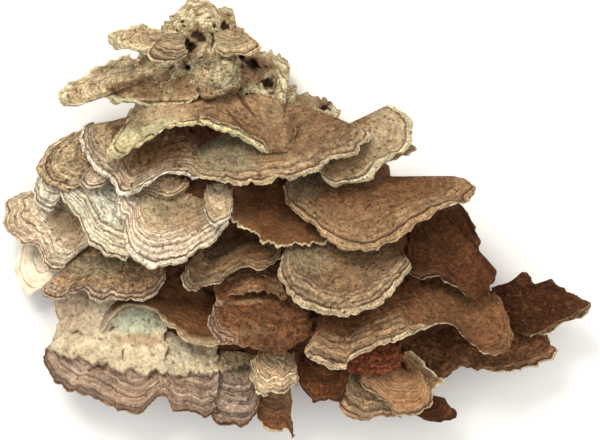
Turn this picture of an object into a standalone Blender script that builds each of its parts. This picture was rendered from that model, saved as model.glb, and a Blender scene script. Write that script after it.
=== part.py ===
"""Violet-toothed polypore: a tiered cluster of thin brackets grown out of one crust.

The cluster lies on the flat cut where it left the trunk. +Z points out of the cut, the way the
brackets grew, and +Y points up the trunk. The origin is on the cut, under the middle of the cluster.
"""

import math
from collections import namedtuple

import bmesh
import bpy
import numpy as np
from mathutils import Vector
from mathutils.bvhtree import BVHTree

# Lengths are in millimetres here and become metres as the meshes are made.
MM = 0.001

# Outlines are written as they look from this height over the cut, drawn to scale at OUTLINE_LEVEL.
EYE_HEIGHT = 700.0
OUTLINE_LEVEL = 30.0

MARGIN_THICKNESS = 1.7
COLUMN_WIDTH = 7.3
ROW_DEPTH = 6.0
ZONE_STEP = 0.35
PIECE_GAP = 0.3

# A bracket: its free margin and its root, each listed counter-clockwise seen from above, with the
# heights of the left end, the middle and the right end over the cut. Flesh is its thickness at the
# root. Crown is how far it bulges, or sinks where it is a hollow.
Cap = namedtuple("Cap", "name margin margin_z root root_z flesh crown tone", defaults=(3.4, 1.5, "tan"))

CAPS = (
    Cap("crown_left_knob",
        ((-46, 60), (-50, 60), (-54, 59.4), (-58, 59), (-59.4, 57), (-58.4, 54.8), (-55.5, 53.4),
         (-52, 52.4), (-48, 51.4)), (24, 22, 25),
        ((-43, 59), (-43, 54)), (25, 25, 25), 5.0, 1.0, "lichen"),
    Cap("crown_small_cap",
        ((-44, 56.5), (-46.3, 53.5), (-47.5, 51.5), (-45, 49.8), (-42, 48.9), (-39, 49), (-36.5, 50.3),
         (-35, 52.5)), (37, 40, 38),
        ((-43, 58), (-39, 59), (-35.5, 56.5)), (34, 34.5, 34), 2.4, 0.6, "tan"),
    Cap("crown_right_cap",
        ((-27, 54), (-25, 51.8), (-21, 50.8), (-17, 51), (-14, 52.3), (-12.3, 53.8), (-13.5, 55.5),
         (-16.5, 57.8), (-19, 59.5)), (36, 38, 32),
        ((-26, 58.5), (-22, 60)), (31, 31, 30), 3.0, 1.2, "tan"),
    Cap("upper_left_shelf",
        ((-53, 52.2), (-56, 51.6), (-59, 50), (-60.5, 48.2), (-64, 47), (-68, 44.2), (-71.4, 42.2), (-73.6, 41.2),
         (-75, 38.8), (-74.2, 36), (-71, 35.6), (-67.5, 35.9), (-64.5, 37.4), (-61, 38.3), (-58.8, 38),
         (-57.5, 37), (-54, 37), (-51, 35), (-46, 34.6), (-40, 34.8), (-34, 36), (-31.5, 39)), (28, 22, 39),
        ((-49.5, 48.5), (-38, 46.5), (-31, 43.5)), (28.5, 31, 33), 4.0, 1.5, "lichen"),
    Cap("crown_rough_cap",
        ((-33, 44), (-32.5, 40.5), (-30.3, 37.4), (-26, 38.4), (-22, 39.8), (-18.8, 41.8), (-18.3, 45.5)),
        (38, 42, 40),
        ((-33, 50), (-27, 51), (-20, 50)), (33, 34, 33), 3.6, 0.8, "lichen"),
    Cap("arched_shelf",
        ((-54, 31.5), (-57, 27.5), (-59.3, 23.5), (-59.6, 20.5), (-57.8, 18.6), (-55, 19.4), (-52, 22.3), (-48, 25),
         (-43, 27.6), (-38, 28.9), (-31, 30), (-26, 28.2), (-20, 25.8), (-14, 23), (-8, 20.6), (-4.8, 20.2),
         (-2.4, 21.8), (-1, 25), (-0.8, 28.5)), (32, 44, 42),
        ((-50, 34.5), (-39, 37.5), (-25, 41), (-12, 39.5), (-5, 34.5)), (29, 33, 35), 4.0, 0.8, "green"),
    Cap("left_shoulder_shelf",
        ((-65.5, 30.5), (-68, 28.5), (-68.5, 24.5), (-67.5, 21), (-65.5, 17.8), (-62.5, 14.8), (-60, 13),
         (-58.3, 10.5), (-56.7, 7), (-54, 7.4), (-51, 9), (-48, 10.8), (-44, 13), (-40, 14), (-36, 13.8),
         (-33, 13), (-30.5, 16)), (27, 35, 40),
        ((-60.5, 30.5), (-50, 33), (-38, 32.5), (-28, 27)), (25, 26, 28), 3.6, -1.5, "velvet"),
    Cap("green_middle_shelf",
        ((-33.5, 16), (-32.5, 13.3), (-28, 12), (-20, 11.5), (-12, 11.4), (-6, 12.2), (-2, 12.6), (2, 14.2),
         (6, 15.2), (8, 17.5), (11, 19.2), (15, 20), (18.5, 21.5), (21, 23.8), (22.7, 26), (20.5, 28),
         (16, 30)), (41, 47, 38),
        ((-31, 24), (-15, 33), (-2, 36), (9, 33)), (29, 31, 32), 3.8, 0.5, "green"),
    Cap("right_lobe_shelf",
        ((4, 17), (7, 13.2), (11, 10.8), (16, 10.7), (21, 12.2), (24, 14.8), (26, 17.8), (29, 19.6),
         (32.5, 21.2), (35, 24.5), (35, 28), (34.3, 31.5), (31.5, 34.8), (27.5, 35.7),
         (24.5, 34.6)), (40, 39, 32),
        ((5.5, 21.5), (10, 26.5), (15, 30)), (30, 30, 30), 3.4, 1.0, "tan"),
    Cap("right_lobe_underlip",
        ((27, 18), (31, 20), (34, 20.8), (36, 22.6), (35.4, 25.5), (34, 28)), (28, 30, 28),
        ((23, 21), (24, 27)), (26, 26, 26), 2.4, 0.5, "brown"),
    Cap("great_right_shelf",
        ((-5.5, 10.5), (-4.5, 6), (-2.5, 3.2), (0.5, 1), (4, -2), (8, -5.5), (13, -8.6), (20, -9.9),
         (26, -8.6), (31, -5.4), (36, -1.6), (41.7, 2.1), (47, 4.3), (50.5, 5.2), (53.2, 6.5), (54.7, 9.2),
         (53.4, 12), (50.6, 13.6), (47.5, 13.8)), (30, 45, 28),
        ((0, 16), (12, 17), (21, 13.9), (27, 13.6)), (27, 27, 25), 3.8, 1.5, "tan"),
    Cap("brown_hollow_shelf",
        ((-22, 5), (-21.8, 1.2), (-20, -1), (-16.5, -3.8), (-12, -6.2), (-8, -8.3), (-5, -9.3), (-2, -8.6),
         (2, -8.5), (6, -7.8), (9.5, -6)), (34, 39, 34),
        ((-15, 13), (-6, 14), (3, 11)), (24, 25, 24), 3.4, -2.0, "brown"),
    Cap("zoned_middle_shelf",
        ((-4, -8.5), (-6, -12), (-6.6, -17), (-4.5, -22), (-1, -25.5), (4, -28), (10, -29.7), (17, -29.3),
         (23, -27.3), (28, -23.4), (32.5, -18.5), (34.7, -15), (33.8, -12.2)), (33, 43, 35),
        ((0, -5), (13, -3), (28.5, -7)), (28, 28, 27), 3.6, 1.5, "tan"),
    Cap("great_left_shelf",
        ((-56.5, 9), (-57.5, 5), (-56.5, 1.5), (-54.5, -0.5), (-55.2, -4), (-54.6, -8), (-53, -11.5),
         (-50, -14), (-45.5, -15.3), (-41, -14.5), (-36.5, -12.8), (-31.5, -9.8), (-27, -6.8),
         (-24.5, -3.5), (-22, -1)), (31, 39, 35),
        ((-50, 13), (-40, 16), (-28, 12)), (24, 25, 26), 3.8, 1.5, "cream"),
    Cap("nested_lobe",
        ((-50, 10.5), (-48.5, 8.3), (-45.5, 7), (-42, 6.4), (-39, 6.8), (-36.5, 8.4), (-34.8, 10.5)),
        (32, 33.5, 33),
        ((-47, 13.5), (-41, 15), (-37, 14)), (29.5, 30, 30), 2.0, 0.4, "velvet"),
    Cap("cream_drape",
        ((-30, 7), (-29.3, 2), (-28, -0.8), (-25.8, -2.3), (-23.6, -1), (-21.8, 1.5), (-21, 5), (-21, 8)),
        (37.5, 39, 37.5),
        ((-29, 11), (-25, 12), (-21, 11)), (34, 35, 34), 2.4, 0.5, "cream"),
    Cap("left_banded_shelf",
        ((-75, 8.5), (-74.5, 6), (-72.5, 3.5), (-70.5, 1), (-68.8, -1.5), (-68, -4), (-66.5, -7), (-64, -9),
         (-60.5, -10.8), (-57, -12), (-54, -13)), (23, 28, 30),
        ((-68, 13), (-60, 14), (-52, 8)), (21, 22, 22), 3.4, 1.2, "cream"),
    Cap("small_dark_lobe",
        ((-67.5, 14), (-69, 12), (-68.5, 10), (-66.5, 8.6), (-64.5, 8.5), (-62, 9.8), (-60, 11.2),
         (-57.5, 12.3)), (27.5, 28, 29),
        ((-65, 17), (-61, 17.5), (-58, 15.5)), (26, 26, 27), 2.2, 0.5, "velvet"),
    Cap("round_left_cap",
        ((-71, 27.5), (-74.5, 25.5), (-78, 22.8), (-80.5, 20), (-81.6, 17.5), (-81.7, 14.8), (-80, 12),
         (-77.5, 10.2), (-74.5, 9.3), (-71, 9.4), (-68, 10.8)), (21, 23, 26),
        ((-67, 28), (-62, 24), (-64, 17)), (22, 23, 23.5), 3.2, 1.0, "velvet"),
    Cap("pale_left_lobe",
        ((-82, 14), (-83.2, 11), (-83.2, 8), (-82, 5.5), (-80, 3.8), (-78, 3.2), (-76, 4.8), (-74.5, 7.5)),
        (16, 19, 19),
        ((-80, 14.5), (-76, 14.5), (-72.5, 11.5)), (16, 17, 17), 2.4, 0.8, "cream"),
    Cap("left_fan",
        ((-84, 9.2), (-87, 9), (-90.5, 7), (-92.4, 5), (-91.8, 2.5), (-93, 0.5), (-93, -2), (-91.5, -4.5),
         (-88.5, -6.2), (-86, -7.8), (-83.5, -8), (-82, -10.5), (-80.5, -13.5), (-78, -15.5), (-75, -15.8),
         (-72.5, -14), (-70, -12), (-67.5, -9.5), (-66, -8)), (11, 15, 20),
        ((-78, 9), (-70, 5), (-64, -3)), (12, 14, 15), 3.4, 1.5, "cream"),
    Cap("ghost_cap",
        ((-86, -6), (-88.3, -9), (-88.6, -12), (-89, -16), (-88, -20), (-86, -22.8), (-84, -23.3),
         (-81.5, -22.2), (-79, -20), (-76.5, -18)), (7, 8, 11),
        ((-80, -6), (-74, -10)), (6, 7, 8), 2.6, 1.0, "white"),
    Cap("velvet_left_shelf",
        ((-74, -15), (-76.5, -18), (-79, -20.5), (-81, -21.8), (-79.5, -23.8), (-76.5, -24.6),
         (-73, -23.8), (-70.5, -23.2), (-67.5, -23), (-65.5, -24.2), (-62, -25), (-59.5, -23.8),
         (-57, -25.6), (-53, -25.8), (-49, -24.8), (-45, -22.5), (-42, -19.5), (-42, -16)), (16, 25, 23),
        ((-66, -7), (-56, -6), (-46, -8)), (15, 16, 17), 3.6, 1.0, "velvet"),
    Cap("shell_cap",
        ((-33, -10), (-35.5, -14), (-36.8, -18), (-36.6, -20.8), (-34.2, -22.6), (-30, -21), (-26, -19.5),
         (-21, -16.8), (-16, -15.3), (-10.5, -15), (-7.5, -13.8), (-5.8, -11), (-6.2, -8.5)), (24, 31, 28),
        ((-29, -6), (-18, -4), (-8.5, -5)), (18, 19, 20), 3.0, 1.2, "tan"),
    Cap("rust_step",
        ((-27, -22), (-24.5, -24.5), (-21, -23.2), (-17, -22.7), (-13, -22.6), (-10, -24), (-7.5, -24.3),
         (-5, -25.5)), (26, 28, 29),
        ((-22, -14), (-12, -13), (-5, -16)), (18, 20, 21), 3.0, 0.5, "rust"),
    Cap("great_brown_shelf",
        ((-22, -23), (-25, -24.8), (-27.3, -27.8), (-28.9, -31), (-29, -34), (-27.3, -36.6), (-24, -38.2),
         (-19, -39.6), (-14, -40.8), (-9, -42.2), (-5, -42.6), (-3.5, -41), (-1.5, -39), (1.5, -37.4),
         (4, -36)), (26, 33, 31),
        ((-17, -21.5), (-8, -19), (2.5, -24)), (18, 19, 20), 3.8, 1.0, "rust"),
    Cap("dark_trough",
        ((-62, -34.8), (-60.3, -32.6), (-59, -30.3), (-56.3, -28), (-52.8, -27), (-48.4, -27.2),
         (-45, -29), (-41.6, -32.5), (-37.8, -36), (-33.8, -38), (-29.4, -39.2), (-24.7, -38.8)), (20, 25, 27),
        ((-64, -27), (-52, -22), (-38, -20), (-26, -24)), (14, 15, 16), 3.0, -1.5, "brown"),
    Cap("white_bottom_shelf",
        ((-77, -23.3), (-75.6, -28.5), (-75.5, -33), (-77, -37.5), (-79, -40.5), (-80.8, -43.4),
         (-79, -46.4), (-78, -49), (-75.5, -51.6), (-72, -54), (-70, -53.5), (-66.5, -54.8), (-63, -56),
         (-60.5, -57.3), (-57.5, -59.4), (-54, -60.4), (-50, -60), (-47.5, -57.7), (-45, -55.6),
         (-42.5, -55)), (13, 17, 20),
        ((-69, -19.5), (-55, -21), (-42, -28.5)), (9.5, 14.5, 16), 4.0, 2.0, "white"),
    Cap("bottom_banded_shelf",
        ((-43.5, -54.6), (-42, -55.2), (-40.8, -57), (-39.6, -59.6), (-36, -60), (-33, -60.7),
         (-30, -61.6), (-27.8, -60.8), (-26.3, -58.8)), (20, 22, 20.5),
        ((-43, -33), (-34, -36.5), (-25.5, -39)), (14, 15, 15.5), 3.8, 2.0, "white"),
    Cap("bottom_wrinkled_shelf",
        ((-27.5, -56), (-27.3, -60.3), (-26.6, -63), (-23, -64.3), (-20, -63.9), (-17, -64.1), (-15, -63),
         (-13.8, -61), (-12.5, -57)), (20, 21, 20),
        ((-26.5, -41), (-20, -41), (-13, -42)), (15.5, 16, 16), 3.4, 1.6, "white"),
    Cap("pointed_flap",
        ((-14, -57), (-13, -61.5), (-10.5, -64.3), (-7, -65.9), (-5, -65.3), (-3.4, -67.6), (-2.3, -68.6),
         (-1.6, -67)), (15, 17, 17),
        ((-13.5, -47), (-8, -46), (-4, -46)), (13, 13, 13), 3.0, 1.0, "brown"),
    Cap("frilled_white_cap",
        ((-14.5, -43), (-15.8, -46), (-16, -49.5), (-15, -52.3), (-13, -55), (-11, -55.3), (-9.6, -54.4),
         (-7.8, -54.1), (-6, -54.9), (-4.5, -53.9), (-3, -52.6), (-0.8, -52.2), (-0.3, -49)),
        (24, 28, 26),
        ((-12.5, -41), (-7, -40), (-2, -42)), (21, 22, 22), 3.0, 1.0, "cream"),
    Cap("bottom_dark_shelf",
        ((-1.5, -47), (-0.5, -51), (1, -53.6), (2.5, -55.6), (4.5, -57.4), (7, -57), (9, -57.4),
         (11.5, -56.4), (13, -55.4), (14.6, -52), (15.5, -48)), (18, 22, 20),
        ((1, -42), (7, -43), (13, -44)), (16, 17, 17), 3.0, 1.0, "brown"),
    Cap("long_right_shelf",
        ((4, -36.5), (3, -38.5), (1.3, -41.5), (3, -43.7), (6, -45.2), (9.5, -46.5), (14, -46.8),
         (15.5, -44), (19, -42), (24, -40), (30, -38), (34, -36.3), (38, -34.3), (41.5, -32.7),
         (45.5, -32.5), (48.5, -33.8), (51, -35.8), (53, -38.5), (56, -41), (59, -42.6), (62.5, -42.4),
         (65, -40.5), (66.3, -37), (66, -33), (64.5, -28), (62.5, -24)), (34, 37, 22),
        ((8, -24), (25, -20), (42, -20), (56, -20)), (22, 22, 17), 3.8, 1.5, "tan"),
    Cap("right_shadow_shelf",
        ((33, -13), (34.5, -17.2), (38, -18.4), (42, -18.4), (46, -18.7), (48.5, -20.6), (51.5, -23.2),
         (55, -25), (57.5, -23), (60.5, -20), (62.4, -16.8), (59.8, -14.2), (57.5, -11.6), (56.3, -8.6),
         (55.8, -5.3), (54.4, -1.5), (52.4, 2.4)), (28, 30, 21),
        ((35, -3), (42, 2), (49.5, 5.4)), (19, 19, 17), 3.6, 1.0, "brown"),
    Cap("right_tail_cap",
        ((69, -35.8), (72.5, -36.6), (76, -36.3), (79, -34.8), (82.5, -32.7), (86, -30.8), (89.4, -28.6),
         (91, -25.8), (87, -23.8), (83.5, -22.6), (81, -20.8), (79.5, -19.3), (77.3, -18.8), (75.2, -20),
         (73, -18.8), (71, -16.8), (68.5, -18.2), (66, -19.4)), (20, 18, 15),
        ((63, -33), (59.5, -28), (60, -21)), (13, 13, 12), 3.4, -1.0, "brown"),
    Cap("lower_right_shelf",
        ((33, -40), (36, -43.5), (40, -47), (43.5, -49.5), (46.5, -48.3), (50, -46.2), (55, -47),
         (61, -47.2), (67, -46.8), (73, -45.8), (78, -43.5), (80.4, -41), (79, -38.5), (77.5, -36)), (19, 19, 15),
        ((38, -36), (52, -33), (66, -31)), (13, 12, 10), 3.4, 1.0, "brown"),
    Cap("granular_red_cap",
        ((14.8, -44), (14.6, -46.6), (18, -47.6), (24, -48), (29, -47.6), (31.6, -45.6), (32.3, -42)),
        (26, 27, 25),
        ((16, -38), (24, -37), (31, -38)), (23, 23, 22), 3.0, 0.8, "rust"),
    Cap("rimmed_corner_cap",
        ((41.5, -55), (43.5, -52), (45.2, -50.2), (43, -49), (40, -46.3), (37, -43), (35, -41.2),
         (32.5, -41.3)), (21, 25, 25),
        ((35, -50), (33.5, -47), (32.5, -44)), (20, 21, 22), 2.4, -0.6, "brown"),
    Cap("tan_fan_cap",
        ((19.5, -48), (19.2, -50.5), (21.5, -53), (24.5, -55.6), (27.5, -58.6), (29.8, -61), (33, -61.6),
         (36.5, -60.9), (39, -59.3), (41, -57.8), (41.3, -54.5), (40, -51), (38.5, -48)), (22, 27, 24),
        ((23, -46.5), (29, -45), (35, -46)), (18, 18, 18), 3.0, 1.2, "amber"),
    Cap("bottom_double_cap",
        ((14.5, -48), (13, -52), (11.6, -56), (12, -58.5), (14.5, -60.8), (17.5, -62.1), (21, -62.4),
         (25, -62.1), (29, -61.6), (32, -61.9)), (18, 20, 19),
        ((17, -46), (22, -46), (27, -50)), (14, 14, 15), 3.0, 1.2, "tan"),
    Cap("dark_bottom_tip",
        ((36, -60.8), (38.5, -62), (41, -63), (44.5, -63), (47.5, -61.9), (48.5, -60), (47.2, -57.8),
         (45.2, -55.6), (43.2, -55.2)), (15, 13, 15),
        ((34.5, -58.5), (35, -55.5), (38, -54)), (14, 14, 15), 2.6, 0.8, "brown"),
)

# The crust that the brackets grew from, as seen from above.
CRUST_OUTLINE = (
    (-47, 57.5), (-43, 60), (-40.5, 62.5), (-38.5, 66.4), (-35, 68), (-30.5, 68.8), (-27, 67.2),
    (-23.5, 67.3), (-21.5, 65), (-20, 61), (-17, 57), (-13, 54), (-9, 52), (-5.6, 52), (-3.4, 48.6),
    (-4.2, 45), (-1, 41.6), (3, 38.2), (9, 37.8), (11.4, 35), (15, 27), (22, 21.5), (26.8, 17.4), (28.8, 13.8), (37, 9),
    (48, 2), (52, -8), (58, -18), (62, -26), (62, -33), (56, -38), (46, -41), (38, -48), (26, -51),
    (14, -49), (0, -47), (-16, -49), (-30, -48), (-46, -44), (-60, -38), (-68, -28), (-70, -16),
    (-68, -4), (-72, 6), (-70, 16), (-64, 26), (-56, 30), (-51, 38), (-50.5, 50),
)
CRUST_CENTRE = (-10, 2)

# Lumps of the bare crown, where no bracket hides the crust: x, y, height over the cut.
CROWN_LUMPS = (
    (-31, 67, 24), (-36, 62, 31), (-24, 63, 29), (-30, 60, 34), (-40, 57, 32), (-33, 54, 36),
    (-27, 56, 35), (-46, 52, 31), (-38, 48, 36), (-28, 50, 37), (-20, 53, 33), (-14, 48, 33),
    (-8, 47, 31), (-16, 42, 36), (-7, 41, 33), (0, 38, 32), (6, 35, 31), (-44, 43, 33),
)
CRUST_RINGS = 9
CRUST_SPOKES = 48
CRUST_WALL = 7.0
CRUST_FOOT_SHARE = 0.93

COLOURS = {
    "cream": (0.62, 0.52, 0.40), "white": (0.66, 0.60, 0.46), "tan": (0.42, 0.32, 0.22),
    "amber": (0.46, 0.30, 0.17), "green": (0.38, 0.33, 0.19), "lichen": (0.47, 0.44, 0.28),
    "velvet": (0.25, 0.18, 0.12), "brown": (0.19, 0.11, 0.07), "rust": (0.20, 0.10, 0.05),
    "crust": (0.40, 0.36, 0.24),
}


def clear_scene():
    for obj in list(bpy.data.objects):
        bpy.data.objects.remove(obj)


def new_collection(name, hidden=False):
    collection = bpy.data.collections.new(name)
    collection.hide_render = hidden
    bpy.context.scene.collection.children.link(collection)
    return collection


def fungus_material(tone):
    material = bpy.data.materials.new(tone + "_flesh")
    material.use_nodes = True
    shader = material.node_tree.nodes["Principled BSDF"]
    shader.inputs["Base Color"].default_value = (*COLOURS[tone], 1.0)
    shader.inputs["Roughness"].default_value = 0.85
    shader.inputs["Metallic"].default_value = 0.0
    return material


def seen(x, y, z):
    """The place in the row frame of a point that is drawn at x, y and lies z over the cut."""
    scale = (EYE_HEIGHT - z) / (EYE_HEIGHT - OUTLINE_LEVEL)
    return Vector((x * scale, y * scale, z)) * MM


def even_points(points, count):
    """count points, evenly spaced along the smooth curve through the given ones."""
    p = np.array(points, float)
    ends = np.vstack([2 * p[0] - p[1], p, 2 * p[-1] - p[-2]])
    dense = []
    for i in range(len(p) - 1):
        a, b, c, d = ends[i:i + 4]
        for t in np.arange(0, 1, 0.125):
            dense.append(0.5 * (2 * b + (c - a) * t + (2 * a - 5 * b + 4 * c - d) * t ** 2
                                + (3 * b - a - 3 * c + d) * t ** 3))
    dense = np.array(dense + [p[-1]])
    run = np.concatenate([[0], np.cumsum(np.linalg.norm(np.diff(dense, axis=0), axis=1))])
    wanted = np.linspace(0, run[-1], count)
    return np.stack([np.interp(wanted, run, dense[:, k]) for k in range(2)], axis=1), run[-1]


def level(heights, u):
    """The height at share u of the way along, by the parabola through both ends and the middle."""
    left, middle, right = heights
    return (left * (1 - u) * (1 - 2 * u) + middle * 4 * u * (1 - u) + right * u * (2 * u - 1))


def grow_cap(cap, materials, home):
    """One bracket: a fan of rows from root to margin, with its flesh hanging below, thinner at the margin."""
    _, length = even_points(cap.margin, 2)
    columns = max(5, round(length / COLUMN_WIDTH))
    margin, _ = even_points(cap.margin, columns + 1)
    root, _ = even_points(cap.root, columns + 1)
    depth = np.linalg.norm(margin - root, axis=1).max()
    rows = int(min(4, max(3, round(depth / ROW_DEPTH))))
    bm = bmesh.new()
    bmesh.ops.create_grid(bm, x_segments=columns, y_segments=rows, size=0.5)
    thickness = {}
    for vert in bm.verts:
        column = round((vert.co.x + 0.5) * columns)
        row = round((0.5 - vert.co.y) * rows)
        u = column / columns
        v = (row / rows) ** 0.85
        flat = root[column] * (1 - v) + margin[column] * v
        rise = 1 - (1 - v) ** 1.4
        z = level(cap.root_z, u) * (1 - rise) + level(cap.margin_z, u) * rise
        z += cap.crown * 4 * v * (1 - v)
        if 0 < row < rows:
            z += ZONE_STEP if row % 2 else -ZONE_STEP
        vert.co = seen(flat[0], flat[1], z)
        thickness[vert] = cap.flesh * (1 - v) + MARGIN_THICKNESS * v
    top = {tuple(vert.co): thickness[vert] for vert in bm.verts}
    made = bmesh.ops.extrude_face_region(bm, geom=bm.faces[:])["geom"]
    for vert in [item for item in made if isinstance(item, bmesh.types.BMVert)]:
        vert.co.z -= top[tuple(vert.co)] * MM
    bmesh.ops.recalc_face_normals(bm, faces=bm.faces)
    bmesh.ops.triangulate(bm, faces=bm.faces)
    mesh = bpy.data.meshes.new(cap.name)
    bm.to_mesh(mesh)
    bm.free()
    mesh.materials.append(materials[cap.tone])
    obj = bpy.data.objects.new(cap.name, mesh)
    home.objects.link(obj)
    return obj


def settled(obj):
    """Replaces the mesh of obj by its evaluated mesh, triangulated, so that cutters can be made from it."""
    graph = bpy.context.evaluated_depsgraph_get()
    mesh = bpy.data.meshes.new_from_object(obj.evaluated_get(graph))
    obj.modifiers.clear()
    obj.data = mesh
    return obj


def cutter_of(obj, home):
    """A slightly swollen copy of obj, which cuts room for it out of a lower bracket."""
    cutter = bpy.data.objects.new(obj.name + "_cutter", obj.data.copy())
    cutter.hide_render = True
    cutter.display_type = "WIRE"
    home.objects.link(cutter)
    bm = bmesh.new()
    bm.from_mesh(cutter.data)
    bm.normal_update()
    moved = [(vert, vert.normal * vert.calc_shell_factor()) for vert in bm.verts]
    for vert, push in moved:
        vert.co += push * PIECE_GAP * MM
    bm.to_mesh(cutter.data)
    bm.free()
    return cutter


def meets(obj, cutter):
    """Whether the surfaces of two objects cross."""
    graph = bpy.context.evaluated_depsgraph_get()
    return bool(BVHTree.FromObject(obj, graph).overlap(BVHTree.FromObject(cutter, graph)))


def cut_away(obj, cutters):
    """Takes the cutters out of obj and keeps the largest piece that is left."""
    group = bpy.data.collections.new(obj.name + "_neighbours")
    for cutter in cutters:
        group.objects.link(cutter)
    cut = obj.modifiers.new("room_for_neighbours", "BOOLEAN")
    cut.operation = "DIFFERENCE"
    cut.solver = "EXACT"
    cut.operand_type = "COLLECTION"
    cut.collection = group
    settled(obj)
    bm = bmesh.new()
    bm.from_mesh(obj.data)
    bmesh.ops.remove_doubles(bm, verts=bm.verts, dist=0.02 * MM)
    left = set(bm.faces)
    islands = []
    while left:
        island = set()
        reached = [left.pop()]
        while reached:
            face = reached.pop()
            island.add(face)
            for edge in face.edges:
                if len(edge.link_faces) == 2:
                    reached += [other for other in edge.link_faces if other in left]
                    left -= set(edge.link_faces)
        islands.append(island)
    islands.sort(key=lambda island: -sum(face.calc_area() for face in island))
    for island in islands[1:]:
        bmesh.ops.delete(bm, geom=list(island), context="FACES")
    bm.to_mesh(obj.data)
    bm.free()


def mound_height(x, y, supports):
    """Height of the crust at x, y, in metres: a blend of the roots and lumps, the nearest ones most."""
    gaps = (supports[:, 0] - x) ** 2 + (supports[:, 1] - y) ** 2
    weights = 1 / (gaps + (2.5 * MM) ** 2) ** 1.6
    return float((weights * supports[:, 2]).sum() / weights.sum())


def root_supports():
    """Where the crust has to reach: just over the root of every bracket, and the crown's lumps."""
    points = [seen(*lump) for lump in CROWN_LUMPS]
    for cap in CAPS:
        roots, _ = even_points(cap.root, 5)
        for k, (x, y) in enumerate(roots):
            points.append(seen(x, y, level(cap.root_z, k / 4) + 0.5))
    return np.array([tuple(p) for p in points])


def grow_crust(caps, materials, home):
    """The crust: a mound of rings round its centre, kept under the brackets, flat where it was cut."""
    outline, _ = even_points(CRUST_OUTLINE + CRUST_OUTLINE[:1], CRUST_SPOKES + 1)
    supports = root_supports()
    trees = []
    graph = bpy.context.evaluated_depsgraph_get()
    for cap in caps:
        trees.append(BVHTree.FromObject(cap, graph))
    bm = bmesh.new()
    bmesh.ops.create_grid(bm, x_segments=CRUST_SPOKES, y_segments=CRUST_RINGS, size=0.5)
    centre = Vector(CRUST_CENTRE)
    for vert in bm.verts:
        spoke = round((vert.co.x + 0.5) * CRUST_SPOKES)
        share = 0.06 + 0.94 * (vert.co.y + 0.5) ** 0.8
        rim = Vector(outline[spoke])
        flat = centre.lerp(rim, share)
        place = seen(flat.x, flat.y, CRUST_WALL)
        height = mound_height(place.x, place.y, supports)
        wall = CRUST_WALL * MM
        height = wall + (height - wall) * math.sqrt(max(0.0, 1 - share ** 5))
        start = Vector((place.x, place.y, -0.01))
        for tree in trees:
            hit = tree.ray_cast(start, Vector((0, 0, 1)))[0]
            if hit is not None:
                height = min(height, hit.z - PIECE_GAP * MM)
        vert.co = (place.x, place.y, max(height, 2 * MM))
    bmesh.ops.remove_doubles(bm, verts=bm.verts, dist=1e-6)
    bmesh.ops.recalc_face_normals(bm, faces=bm.faces)
    edges = [edge for edge in bm.edges if edge.is_boundary]
    outer = max(edges, key=lambda edge: edge.verts[0].co.length)
    loops = {outer}
    while True:
        reached = {v for edge in loops for v in edge.verts}
        more = {edge for edge in edges if set(edge.verts) & reached} - loops
        if not more:
            break
        loops |= more
    inner = [edge for edge in edges if edge not in loops]
    bmesh.ops.contextual_create(bm, geom=inner)
    made = bmesh.ops.extrude_edge_only(bm, edges=list(loops))["geom"]
    foot = [item for item in made if isinstance(item, bmesh.types.BMVert)]
    middle = seen(*CRUST_CENTRE, 0)
    for vert in foot:
        vert.co.x = middle.x + (vert.co.x - middle.x) * CRUST_FOOT_SHARE
        vert.co.y = middle.y + (vert.co.y - middle.y) * CRUST_FOOT_SHARE
        vert.co.z = 0.0
    rim = [item for item in made if isinstance(item, bmesh.types.BMEdge)]
    bmesh.ops.contextual_create(bm, geom=rim)
    bmesh.ops.recalc_face_normals(bm, faces=bm.faces)
    bmesh.ops.triangulate(bm, faces=[face for face in bm.faces if len(face.verts) == 4])
    mesh = bpy.data.meshes.new("crust_base")
    bm.to_mesh(mesh)
    bm.free()
    mesh.materials.append(materials["crust"])
    obj = bpy.data.objects.new("crust_base", mesh)
    home.objects.link(obj)
    return obj


def main():
    clear_scene()
    home = new_collection("violet_toothed_polypore")
    cutters = new_collection("cutters", hidden=True)
    materials = {tone: fungus_material(tone) for tone in COLOURS}
    caps = [grow_cap(cap, materials, home) for cap in CAPS]
    bpy.context.view_layer.update()
    for cap in caps:
        settled(cap)
    crust = grow_crust(caps, materials, home)
    room = {cap.name: cutter_of(cap, cutters) for cap in caps}
    higher = [cutter_of(crust, cutters)]
    for cap in caps:
        near = [cutter for cutter in higher if meets(cap, cutter)]
        if near:
            cut_away(cap, near)
        higher.append(room[cap.name])


main()
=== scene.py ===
"""The looks of the violet-toothed polypore: banded caps with pale margins on one crust, on a floor."""

import math
from collections import namedtuple

import bpy
import numpy as np
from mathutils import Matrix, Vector


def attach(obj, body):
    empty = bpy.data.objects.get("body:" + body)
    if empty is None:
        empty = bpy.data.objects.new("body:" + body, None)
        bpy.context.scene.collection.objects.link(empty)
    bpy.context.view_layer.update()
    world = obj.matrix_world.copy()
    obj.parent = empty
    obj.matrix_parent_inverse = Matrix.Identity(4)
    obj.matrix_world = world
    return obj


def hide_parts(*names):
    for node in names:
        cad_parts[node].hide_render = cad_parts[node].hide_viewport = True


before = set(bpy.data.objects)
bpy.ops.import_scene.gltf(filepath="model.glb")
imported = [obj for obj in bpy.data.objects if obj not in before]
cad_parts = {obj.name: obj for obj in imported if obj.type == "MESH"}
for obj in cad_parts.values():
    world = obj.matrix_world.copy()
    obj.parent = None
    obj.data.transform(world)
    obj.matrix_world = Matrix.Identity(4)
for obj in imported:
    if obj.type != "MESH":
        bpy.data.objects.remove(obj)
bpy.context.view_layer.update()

# Lengths are in millimetres here and become metres as the meshes are made.
MM = 0.001
EYE_HEIGHT = 700.0
OUTLINE_LEVEL = 30.0
FRAME_WIDTH = 187.5
SENSOR = 36.0

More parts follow.
